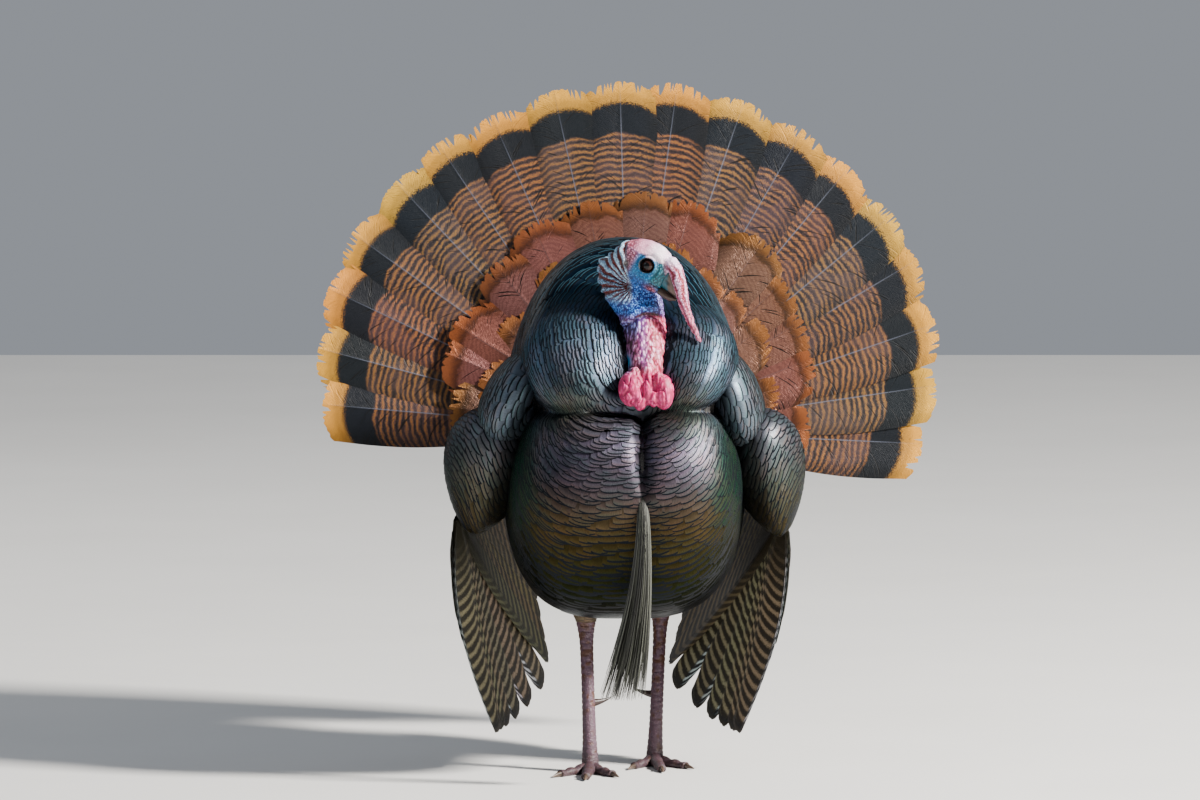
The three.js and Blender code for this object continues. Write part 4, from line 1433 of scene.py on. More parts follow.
        lay(ramp(eye, 24, 15), (0.05, 0.46, 0.68), (0.01, 0.20, 0.38), 0.6)
        teal = ramp(along, 7, 14) * ramp(up, -19, -15)
        lay(teal, (0.10, 0.44, 0.50), (0.02, 0.16, 0.22), 0.7)
        lay(ramp(up, -14, -24) * ramp(along, 14, 4), (0.05, 0.38, 0.70), (0.03, 0.16, 0.36), 0.9)
        cheek = ramp(up, -26, -34)
        lay(cheek, (0.24, 0.54, 0.90), (0.05, 0.12, 0.42), 1.0)
        front = ramp(p[:, 0], 34, 52)
        lay(ramp(up, -24, -32) * front, (0.52, 0.45, 0.72), (0.22, 0.12, 0.30), 1.0)
        patch = bump(np.hypot((along - 15) / 7, (up + 25) / 4.5))
        lay(patch * 1.3, (0.72, 0.42, 0.52), (0.32, 0.06, 0.10), 1.0)
        crown = ramp(up + 1.5 * mottle - 0.12 * (along - 4), 8.5, 12.5)
        lay(crown, (0.86, 0.62, 0.72), (0.66, 0.36, 0.50), 0.35)
        lay(crown * ramp(along, -16, 4), (0.95, 0.88, 0.93), (0.80, 0.66, 0.78), 0.25)
        lay(crown * ramp(along, -18, -32), (0.78, 0.46, 0.56), (0.44, 0.12, 0.20), 0.8)
        behind = ramp(along, -12, -20) * ramp(up, -24, -14)
        lay(behind * (1 - crown), (0.66, 0.42, 0.52), (0.32, 0.10, 0.18), 0.8)
        stripes = self.nape(p)
        lay(stripes, (0.66, 0.84, 0.94), (0.36, 0.40, 0.55), 0.6)
        groove = ramp(self.fold_lines(p) + 0.45 * mottle, 0.35, -0.15)
        lay(stripes * groove, (0.46, 0.13, 0.12), (0.22, 0.03, 0.04), 0.8)
        low_nape = stripes * ramp(up, -26, -40)
        lay(low_nape * (1 - groove), (0.50, 0.74, 0.90), (0.30, 0.20, 0.25), 0.9)
        lay(self.ear(p, 5, 6), (0.45, 0.42, 0.42), (0.20, 0.15, 0.15), 0.8)
        z = p[:, 2]
        hood_z = self.hood_height(p)
        neck = ramp(z, hood_z + 1, hood_z - 3) * ramp(p[:, 0], 10, 18)
        neck = np.maximum(neck, ramp(z, 566, 546))
        lay(neck, (0.90, 0.38, 0.55), (0.52, 0.05, 0.17), 0.95)
        lay(neck * ramp(mottle, 0.1, 0.6) * 0.75, (0.93, 0.72, 0.84))
        left = ramp(p[:, 0] + 4 * mottle - 0.16 * (z - 520), 24, 12)
        lay(neck * left, (0.62, 0.36, 0.56), (0.22, 0.03, 0.12), 1.0)
        lay(neck * left * ramp(z, 528, 556), (0.42, 0.55, 0.85), (0.16, 0.10, 0.32), 1.0)
        centre = bump((p[:, 0] - 26) / 6) * ramp(z, 496, 512)
        lay(neck * centre * 0.6, (0.78, 0.68, 0.90), (0.45, 0.28, 0.60))
        lay(neck * ramp(p[:, 0], 46, 54) * 0.5, (0.95, 0.40, 0.55))
        lump = np.maximum(self.lump(p), ramp(z, 486, 478))
        lay(lump, (0.80, 0.14, 0.43), (0.42, 0.02, 0.15), 0.6)
        # painted highlights: paler pink patches on the caruncles, laid by noise
        lay(lump * ramp(mottle, 0.0, 0.7) * 0.45, (0.90, 0.36, 0.62))
        spot = bump(np.hypot((p[:, 0] - 7) / 4, (z - 508) / 7))
        # painted shadow: dark red just under the hood of head skin, where it overhangs the neck
        hood_shadow = bump((z - hood_z + 1.5) / 2.2) * ramp(p[:, 1], -165, -185) * ramp(p[:, 0], 12, 20)
        hood_shadow *= ramp(p[:, 0], 64, 58)
        lay(hood_shadow * 1.2, (0.34, 0.06, 0.16), (0.12, 0.01, 0.05))
        lay(spot * 1.3, (0.12, 0.66, 0.86), (0.05, 0.30, 0.50), 0.5)
        wattle = self.snood_share(p)
        lay(wattle, (0.86, 0.56, 0.72), (0.50, 0.10, 0.24), 0.9)
        # painted shade in the grooves between the snood's cords, and painted highlights on their ridges
        lay(wattle * ramp(self.cords(p), -0.1, -0.6), (0.62, 0.10, 0.20), (0.40, 0.04, 0.12))
        lay(wattle * ramp(self.cords(p), 0.35, 0.8) * 0.8, (0.93, 0.84, 0.92), (0.72, 0.55, 0.70))
        lay(wattle * ramp(z, 600, 560) * 0.7, (0.80, 0.40, 0.54), (0.42, 0.10, 0.20))
        lay(wattle * ramp(z, 616, 630), (0.93, 0.86, 0.93), (0.70, 0.56, 0.74), 0.5)
        lay(self.gape(p, 1.2, 9), (0.08, 0.05, 0.07), (0.02, 0.01, 0.02))
        lay(ramp(eye, 10.4, 9.2), (0.05, 0.07, 0.09), (0.02, 0.02, 0.03), 0.3)
        upper_lid = bump((eye - 12.4) / 0.9) * ramp(up, 2, 7)
        lay(upper_lid * 0.85, (0.04, 0.14, 0.20), (0.02, 0.05, 0.08))
        return tops * (1 + 0.12 * mottle[:, None]), gaps, strength

    def snood_share(self, p: Array) -> Array:
        """1 on the snood and 0 on the rest of the head."""
        x, y, _, radius = self.beside(self.snood, p)
        away = np.hypot(p[:, 0] - x, p[:, 1] - y) / radius
        return ramp(away, 1.9, 1.35) * ramp(p[:, 2], 640, 632) * ramp(p[:, 0], 48, 56)

    def bill(self, shape: Outline, teal: bool) -> Shell:
        """One half of the bill, the upper with its soft teal base and its nostrils."""
        shell = self.loft(shape, 64, 56)
        along, up, right = self.to_own(shell.points)
        line = 0.35 * np.sin(along * 2.1 + 0.6 * up)
        nostril = np.hypot((along - 29) / 3.6, (up + 5.5 + 0.35 * (along - 29)) / 1.4)
        sunk = 1.6 * bump(nostril) * teal
        side = np.sign(right) * ramp(np.abs(right), 1, 4)
        own = np.stack([along, up, right - side * (sunk + 0.12 * line)], axis=1)
        points = own @ self.axes + self.origin
        colour = np.broadcast_to(rgb(0.38, 0.31, 0.28), points.shape).copy()
        tones = [
            (ramp(along, 36, 48), (0.34, 0.27, 0.23)),
            # painted shade: the lower bill darker towards its underside
            (ramp(up, -15, -22) * (not teal), (0.26, 0.20, 0.17)),
            (ramp(noise(points, (5, 5, 2), 3), 0.1, 0.7) * 0.6, (0.22, 0.19, 0.15)),
            (teal * ramp(along + 0.45 * up, 29.0, 25.5), (0.08, 0.32, 0.38)),
            # painted shade: near black along the upper bill's lower edge, where it meets the lower bill
            (teal * ramp(up, -14.0, -16.5), (0.06, 0.06, 0.06)),
            (teal * bump(nostril), (0.02, 0.05, 0.06)),
        ]
        for mask, tone in tones:
            colour = blended(colour, rgb(*tone), mask)
        return replace(shell, points=points, tints={"tint": opaque(colour)})

    def eye(self, side: Side) -> Shell:
        """A round eye with pupil, brown iris and dark rim, by the angle from its axis."""
        right = -side.value
        centre = self.from_own(0, 0, right * self.eye_out)
        axis = self.axes[2] * right
        ball = tube(Lobe((0, 0, 0), (self.eye_radius,) * 3).place, 40, 56)
        out = ball.points @ axis
        off = np.linalg.norm(ball.points - np.outer(out, axis), axis=1) + 20 * (out < 0)
        swell = 0.5 * bump(off / 5.0) * (out > 0)
        colour = np.broadcast_to(rgb(0.05, 0.03, 0.03), ball.points.shape).copy()
        colour = blended(colour, rgb(0.15, 0.07, 0.05), ramp(off, 7.4, 6.6) * ramp(off, 3.6, 4.2))
        colour = blended(colour, rgb(0.01, 0.01, 0.012), ramp(off, 4.2, 3.6))
        points = ball.points + np.outer(swell, axis) + centre
        return replace(ball, points=points, tints={"tint": opaque(colour)})

    def dress(self, shop: Workshop, horn: Material) -> None:
        """Makes the bill and the eyes."""
        wet = WetEye().build()
        shop.piece("bill_upper_horn", self.bill(self.upper, True), horn, Slot.HORN, ["bill_upper"])
        shop.piece("bill_lower_horn", self.bill(self.lower, False), horn, Slot.HORN, ["bill_lower"])
        for side in Side:
            shop.piece(f"eyeball_{side.word}", self.eye(side), wet, Slot.EYE, [f"eye_{side.word}"])


# ---- legs


@dataclass(frozen=True)
class Toe:
    """One toe: its turn from straight ahead towards the middle of the bird, and its size."""

    name: str
    turn: float
    length: float
    radius: float


TOES = (
    Toe("inner", 34, 54, 7.2),
    Toe("middle", 0, 76, 7.8),
    Toe("outer", -34, 58, 7.2),
    Toe("hind", 172, 27, 5.8),
)


@dataclass(frozen=True)
class Leg:
    """A scaled leg and foot, its claws and its spur."""

    side: Side
    thigh: tuple
    hock: tuple
    ankle: tuple
    turn: float
    thigh_half: tuple = (50, 40, 27, 17, 12.5)
    shank_x: tuple = (9.5, 13, 11.5, 8.2, 7.6, 7.6, 8.2, 10)
    shank_y: tuple = (10.5, 14, 12, 9.4, 8.8, 8.8, 9.4, 11)
    rise: float = 12
    claw: tuple = (16.0, 3.4, 2.2)  # length, radius and droop
    spur: tuple = (26.0, 6.0, 0.42, 8.0)  # length, radius, place on the shank and lift

    def shank_line(self, t: Array) -> Array:
        """The middle of the shank, from above the hock down to the ankle."""
        hock, ankle = np.array(self.hock, float), np.array(self.ankle, float)
        stations = np.array([hock + (0, -7, self.rise), hock, (hock + ankle) / 2, ankle - (0, 0, 6)])
        return np.stack([spline(stations[:, k], t) for k in range(3)], axis=1)

    def scutes(self, z: Array, angle: Array) -> Array:
        """Shield scales: grooves every 7 mm down the front, half a step apart on the two sides."""
        shift = np.where(np.sin(2 * angle) > 0, 0.5, 0.0)
        row = np.abs((z / 7.0 + shift) % 1 - 0.5) * 2
        seam = np.minimum(np.abs(np.sin(angle)), np.abs(np.cos(angle)))
        return 0.35 - 0.75 * bump((1 - row) / 0.2) - 0.5 * bump(seam / 0.12)

    def shank_place(self, t: Array, angle: Array) -> Array:
        """The shank: level ellipses with scales raised on them."""
        middle = self.shank_line(t)
        scale = self.scutes(middle[:, 2], angle + math.pi / 4)
        return middle + ellipse(spline(self.shank_x, t) + scale, spline(self.shank_y, t) + scale, angle)

    def thigh_place(self, t: Array, angle: Array, inset: float = 0.0, low: float = 4.0) -> Array:
        """The coat of the thigh, or the skin an inset inside it, down to low under the shank's top."""
        half = spline(self.thigh_half, t) - inset
        top, hock = np.array(self.thigh, float), np.array(self.hock) + (0, -7, self.rise - low)
        return top + (hock - top) * t[:, None] + ellipse(half, 1.1 * half, angle)

    def heading(self, toe: Toe) -> Array:
        """The direction of a toe, seen from above."""
        turn = math.radians(self.turn - self.side.value * toe.turn)
        return np.array([math.sin(turn), -math.cos(turn), 0])

    @staticmethod
    def toe_height(t: Array, radius: Array) -> Array:
        """Height of a toe's middle: it falls from the ankle and then lies on its sole."""
        return radius * 0.74 + 7 * (1 - ramp(t, 0, 0.35))

    def toe_place(self, toe: Toe, t: Array, angle: Array) -> Array:
        """A toe: knuckled, with rings of scales on top and a flat sole on the floor."""
        ahead = self.heading(toe)
        across = np.array([-ahead[1], ahead[0], 0])
        radius = toe.radius * (1 - 0.36 * t) * (1 + 0.1 * np.cos(3 * TURN * t))
        ring = np.abs((t * toe.length / 4.2) % 1 - 0.5) * 2
        raised = (0.25 - 0.6 * bump((1 - ring) / 0.22)) * ramp(np.sin(angle), -0.2, 0.5)
        wide, tall = radius + raised, radius * 0.9 + raised
        z = np.maximum(self.toe_height(t, radius) + tall * np.sin(angle), 0.0)
        point = np.outer(toe.length * t, ahead) + np.outer(wide * np.cos(angle), across)
        point[:, :2] += self.ankle[:2]
        point[:, 2] = z
        return point

    def flesh(self, shop: Workshop) -> list[Object]:
        """Thigh, shank, ankle, sole pad and toes as closed objects for the skin."""
        x, y, _ = self.ankle
        pad = tube(Lobe((x, y, 6.5), (12, 13, 9)).place, 24, 28)
        pad.points[:, 2] = np.maximum(pad.points[:, 2], 0.0)
        shells = {
            "shank": tube(self.shank_place, 170, 44),
            "thigh": tube(lambda t, a: self.thigh_place(t, a, 3.0, 1.0), 24, 32),
            "pad": pad,
            "ankle": tube(Lobe((x, y, 14), (8.6, 9.6, 9)).place, 20, 28),
        }
        for toe in TOES:
            shells[toe.name] = tube(lambda t, a, toe=toe: self.toe_place(toe, t, a), 56, 26)
        return [shop.loose(f"{self.side.word}_{name}", s) for name, s in shells.items()]

    def horn_tube(
        self, line: Callable[[Array], Array], radius: Callable[[Array], Array], across: Array, rows: int
    ) -> Shell:
        """A tapering horn along a line, round about across and the upright."""

        def place(t: Array, angle: Array) -> Array:
            """A point of the horn."""
            r = radius(t)
            point = line(t) + np.outer(r * np.cos(angle) * 0.85, across)
            point[:, 2] += r * np.sin(angle)
            return point

        return tube(place, rows, 22)

    def claw_shell(self, toe: Toe) -> Shell:
        """A blunt, slightly hooked claw at the end of a toe."""
        length, radius, droop = self.claw
        ahead = self.heading(toe)
        thick = radius * toe.radius / 6.5
        start = np.array([*self.ankle[:2], self.toe_height(1.0, toe.radius * 0.704)])
        start = start + ahead * (toe.length - 1.5)

        def line(t: Array) -> Array:
            """The claw's middle, drooping to its tip."""
            point = start + np.outer((length + 1.5) * t, ahead)
            point[:, 2] -= droop * t**2
            return point

        across = np.array([-ahead[1], ahead[0], 0])
        return self.horn_tube(line, lambda t: thick * (1 - 0.8 * t) * np.sqrt(1.02 - t**6), across, 26)

    def spur_shell(self) -> Shell:
        """The spur: inwards and back from the lower shank, curving upwards."""
        length, radius, place, lift = self.spur
        ankle, hock = np.array(self.ankle, float), np.array(self.hock, float)
        start = ankle + (hock - ankle) * place
        ahead = np.array([-self.side.value * 0.86, 0.5, 0])

        def line(t: Array) -> Array:
            """The spur's middle, rising to its tip."""
            point = start + np.outer((length + 6) * t, ahead)
            point[:, 2] += lift * t**2 - 3 * t
            return point

        across = np.array([0.5, self.side.value * 0.86, 0])
        return self.horn_tube(line, lambda t: radius * (1 - 0.86 * t), across, 30)

    @staticmethod
    def horn_tint(shell: Shell, dark: Array, pale: Array) -> Shell:
        """Colours a horn from its root (dark) to its tip (pale), by the order of its rings."""
        share = np.arange(len(shell.points)) / len(shell.points)
        return replace(shell, tints={"tint": opaque(blended(dark, pale, share))})

    def paint(self, p: Array) -> Array:
        """Dull purple-pink in front, rust at the sides, darker towards the floor."""
        mottle = noise(p, 5, 61)
        base = rgb(0.33, 0.235, 0.29) + 0 * p
        rust = ramp(mottle + 0.5 * ramp(p[:, 2], 60, 160), 0.2, 0.8)
        colour = blended(base, rgb(0.30, 0.17, 0.12), rust)
        # darker towards the floor
        return blended(colour, rgb(0.20, 0.13, 0.14), ramp(p[:, 2], 40, 8) * 0.7)

    def dress(self, shop: Workshop, horn: Material) -> None:
        """Makes the claws and the spur."""
        name = self.side.word
        for toe in TOES:
            claw = self.horn_tint(self.claw_shell(toe), rgb(0.16, 0.12, 0.10), rgb(0.36, 0.29, 0.24))
            shop.piece(f"claw_horn_{name}_{toe.name}", claw, horn, Slot.HORN, [f"claw_{name}_{toe.name}"])
        spur = self.horn_tint(self.spur_shell(), rgb(0.20, 0.13, 0.12), rgb(0.10, 0.07, 0.06))
        shop.piece(f"spur_horn_{name}", spur, horn, Slot.HORN, [f"spur_{name}"])


# ---- wing, tail


@dataclass(frozen=True)
class Wing:
    """A lowered wing: shoulder lump under small coverts, and a curtain of flight feathers."""

    side: Side
    lump: Lobe
    tuck: tuple  # how far the tips curve in, at the sweeps below
    wrist: tuple = (198, -45, 330)
    bow: float = 18
    bulge: float = 5
    sweeps: tuple = (4, 37, 84)
    reaches: tuple = (286, 294, 216)
    inner: tuple = (286, 288, 216)  # the same for the secondaries
    primaries: int = 7
    secondaries: int = 9

    def sheet(self, back: Array, down: Array, out: Array) -> Array:
        """A point of the curtain: back and down from the wrist, out from its own surface."""
        degrees = np.degrees(np.arctan2(back, down))
        share = np.clip(np.hypot(back, down) / np.interp(degrees, self.sweeps, self.reaches), 0, 1.08)
        arc = np.sin(np.pi * np.clip(share, 0, 1))
        bow = self.bow * (1 - np.clip((degrees - 4) / 33, 0, 1)) * arc
        tuck = np.interp(degrees, self.sweeps, self.tuck) * share**1.25
        bulge = self.bulge * ramp(degrees, 28, 56) * arc**0.7
        x = self.side.value * (self.wrist[0] + bow + bulge - tuck + out)
        return np.stack([x, self.wrist[1] + back, self.wrist[2] - down], axis=1)

    def fans(self) -> dict[str, Fan]:
        """The rows of large feathers by name."""
        first, second = np.arange(self.primaries), np.arange(self.secondaries)
        low, middle, high = self.sweeps
        turn = low + (middle - low) * ((first + 0.5) / self.primaries) ** 2.1
        turn_in = middle + 1 + (high - middle - 1) * (second + 0.5) / self.secondaries
        reach = np.interp(turn, self.sweeps, self.reaches)
        reach_in = np.interp(turn_in, self.sweeps, self.inner)
        short = np.linspace(178, 150, self.primaries - 1)
        short_in = np.linspace(168, 132, self.secondaries)
        layer, layer_in = 1.4 * first, 1.4 * self.primaries + 0.8 * second
        narrow = (0.3, 0.75, 0.95, 1.0, 1.0, 0.92, 0.66)
        broad = (0.35, 0.7, 0.9, 1.0, 1.0, 0.95, 0.72)
        long, inner, small = Vane(44, 19, 0.8), Vane(36, 19, 0.8), Vane(22, 11)
        # angle, reach, half width, layer, start, profile, drop, vane, ragged, leading, arch and thickness
        rows = {
            "primaries": (turn, reach, 31, layer - 3, 26, narrow, 13, long, 1.5, 0.38, 0.6, 0.6),
            "secondaries": (turn_in, reach_in, 30, layer_in - 8, 26, broad, 10, inner, 2, 0.6, 0.7, 0.6),
            "primary_coverts": (turn[1:], short, 17, layer[1:] - 1, 40, narrow, 7, small, 1, 0.6, 0.5, 0.5),
            "greater_coverts": (turn_in, short_in, 20, layer_in - 5.8, 40, broad, 6, small, 1, 1, 0.5, 0.5),
        }
        fans = {}
        for number, (name, row) in enumerate(rows.items()):
            angles, out, half, height, start, profile, drop, *rest = row
            halves, seed = np.full(len(angles), float(half)), 300 + self.side.value + 10 * number
            fans[name] = Fan(self.sheet, angles, out, halves, height, start, profile, drop, seed, *rest)
        return fans

    def tracts(self) -> tuple[Tract, ...]:
        """Small coverts: fine and pewter on the shoulder, larger and bronze lower down."""
        x, y, z = (abs(self.lump.centre[0]), *self.lump.centre[1:])
        rows = (
            ((x, y - 70, z + 70), 45, 6.6, 16, (0.32, 0.33, 0.37), 0.8, 1.6),
            ((x + 20, y - 75, z + 20), 40, 8.0, 18, (0.27, 0.28, 0.24), 0.8, 2.0),
            ((x + 10, y - 70, z - 36), 50, 11, 22, (0.23, 0.19, 0.11), 0.8, 2.4),
            ((x + 40, y + 20, z - 20), 50, 11, 22, (0.15, 0.21, 0.18), 0.75, 2.4),
            ((x + 20, y + 80, z - 60), 60, 12, 24, (0.20, 0.16, 0.09), 0.65, 3.0),
            ((x - 40, y - 30, z), 40, 8, 18, (0.10, 0.11, 0.10), 0.5, 1.5),
        )
        return tuple(Tract(*row) for row in rows)


@dataclass(frozen=True)
class Coverts:
    """The rows of coverts on one face of the tail."""

    rows: tuple  # share of the reach, feathers, half width and share of the depth
    reach: tuple
    span: tuple  # first and last angle
    depth: tuple  # height over the sheet, from the root to the longest row's tip
    root_rise: float  # more height at each blade's own root
    swing: float  # turn of every second row, in degrees
    layer: tuple  # height of the middle blade, and its fall by row and by blade
    seed: int
    style: dict  # the fans' other sizes


@dataclass(frozen=True)
class Tail:
    """The raised tail: eighteen great feathers, coverts in front of them and coverts behind."""

    root: tuple = (11, 236, 388)
    lean: float = 8
    dish: float = 12
    feathers: int = 18
    span: tuple = (-91.2, 97.2)
    reach: tuple = (372, 410, 420, 426, 420, 402, 352)
    step: float = 1.5
    upper: Coverts = Coverts(
        ((1.0, 13, 50, 0.25), (0.8, 12, 44, 0.5), (0.62, 11, 38, 0.75), (0.46, 10, 32, 0.95)),
        (226, 250, 280, 294, 280, 248, 222), (-90, 92), (78, 16, 7, 3.5), 2.0, 2.0, (3.4, 0, 0.4), 420,
        dict(start=30, drop=24, vane=Vane(26, 41), ragged=5, arch=4.5, slits=14, jitter=3.2, roll=1.6),
    )
    under: Coverts = Coverts(
        ((1.0, 11, 27, -0.35), (0.8, 10, 25, -0.55), (0.6, 9, 22, -0.75), (0.42, 8, 19, -0.95)),
        (160, 192, 214, 222, 214, 192, 160), (-60, 62), (34, 22, 12, 3), 0.0, 0.0, (-16.7, 0.8, 0), 440,
        dict(start=28, drop=16, vane=Vane(24, 19), ragged=3, arch=-2.5, slits=7, jitter=2.2, roll=1.2),
    )

    def sheet(self, side: Array, up: Array, forward: Array) -> Array:
        """A point of the tail's leaning, slightly cupped sheet."""
        lean = math.radians(self.lean)
        depth = forward + self.dish * (side / self.reach[3]) ** 2
        return np.stack([
            self.root[0] + side,
            self.root[1] + up * math.sin(lean) - depth * math.cos(lean),
            self.root[2] + up * math.cos(lean) + depth * math.sin(lean),
        ], axis=1)

    def spread(self, count: int, span: tuple, reach: tuple) -> tuple[Array, Array]:
        """Even angles over a span, with the reach at each."""
        share = (np.arange(count) + 0.5) / count
        return span[0] + (span[1] - span[0]) * share, spline(reach, share)

    def great(self) -> Fan:
        """The eighteen tail feathers, the middle pair in front."""
        degrees, reach = self.spread(self.feathers, self.span, self.reach)
        behind = np.abs(np.arange(self.feathers) - (self.feathers - 1) / 2) - 0.5
        return Fan(
            self.sheet, degrees, reach + 4, np.full(self.feathers, 45.0), -1.0 - self.step * behind, 34,
            (0.12, 0.28, 0.5, 0.7, 0.86, 0.97, 1.0, 0.97), 17, 401, Vane(36, 45),
            ragged=2.5, arch=1.4, thickness=0.5, slits=15, jitter=0.5, roll=0.9,
        )

    def rows(self, coverts: Coverts) -> list[Fan]:
        """Rows of coverts, each shorter row lying over the longer one."""
        fans = []
        top, drop, fall = coverts.layer
        for number, (scale, count, half, height) in enumerate(coverts.rows):
            degrees, reach = self.spread(count, coverts.span, tuple(scale * r for r in coverts.reach))

            def rise(share: Array, scale: float = scale, height: float = height) -> Array:
                """Height of a blade over its layer, most at the root."""
                return height * spline(coverts.depth, share * scale) + coverts.root_rise * (1 - share) ** 2

            fans.append(Fan(
                self.sheet, degrees + (number % 2) * coverts.swing, reach, np.full(count, float(half)),
                top - drop * number - fall * np.abs(np.arange(count) - (count - 1) / 2),
                profile=(0.2, 0.45, 0.7, 0.9, 1.0, 0.9), seed=coverts.seed + number, thickness=0.5, rise=rise,
                shelf=(number / 4, (number + 1) / 4), **coverts.style,
            ))
        return fans


@dataclass(frozen=True)
class Beard:
    """The coarse bristles that hang from the breast."""

    x: tuple = (24, 26, 22, 12, -1)
    y: tuple = (-226, -244, -236, -222, -210)
    z: tuple = (372, 310, 240, 170, 106)
    half_x: tuple = (4, 8, 13, 20, 27)
    half_y: tuple = (4, 7, 8, 8, 7)
    count: int = 560
    radius: float = 0.75

    def shell(self) -> Shell:
        """Square bristles, thinner at the tip, spread from one root along the beard's line."""
        random = np.random.default_rng(77)
        rows, corners = 16, 4
        t = np.linspace(0, 1, rows)
        turn = random.uniform(0, TURN, self.count)
        off = np.sqrt(random.uniform(0, 1, self.count))
        reach = random.uniform(0.62, 1.0, self.count)[:, None] ** 0.7
        at = t[None] * reach
        bend = random.normal(0, 1, (self.count, 2, 1)) * 2.5 * at[:, None] ** 2
        x = spline(self.x, at) + spline(self.half_x, at) * (off * np.cos(turn))[:, None] + bend[:, 0]
        y = spline(self.y, at) + spline(self.half_y, at) * (off * np.sin(turn))[:, None] + bend[:, 1]
        middle = np.stack([x, y, spline(self.z, at)], axis=2)
        corner = np.arange(corners) / corners
        thick = self.radius * (1 - 0.75 * t**1.5)
        ring = ellipse(np.ones(corners), np.ones(corners), corner * TURN)
        points = middle[:, :, None] + thick[None, :, None, None] * ring[None, None]
        ends = np.array([[3, 2, 1, 0], [rows * 4 - 4, rows * 4 - 3, rows * 4 - 2, rows * 4 - 1]])
        faces = np.concatenate([grid_quads(rows, corners, True), ends])
        each = rows * corners
        quads = (faces[None] + np.arange(self.count)[:, None, None] * each).reshape(-1, 4)
        shade = random.uniform(0, 1, (self.count, 1)) ** 3 * rgb(0.36, 0.37, 0.33) + rgb(0.06, 0.065, 0.06)
        root = 0.5 + 0.45 * off * np.cos(turn), 0.5 + 0.45 * off * np.sin(turn)
        steps = 0.003 * corner[None, :] + 0 * t[:, None], 0.003 * t[:, None] + 0 * corner[None, :]
        baked = np.stack([r[:, None, None] + step for r, step in zip(root, steps)], axis=3).reshape(-1, 2)
        tint = np.repeat(opaque(shade), each, axis=0)
        return Shell(points.reshape(-1, 3), quads, uvs={"OFBake": baked}, tints={"tint": tint}).outward()


# ---- the bird


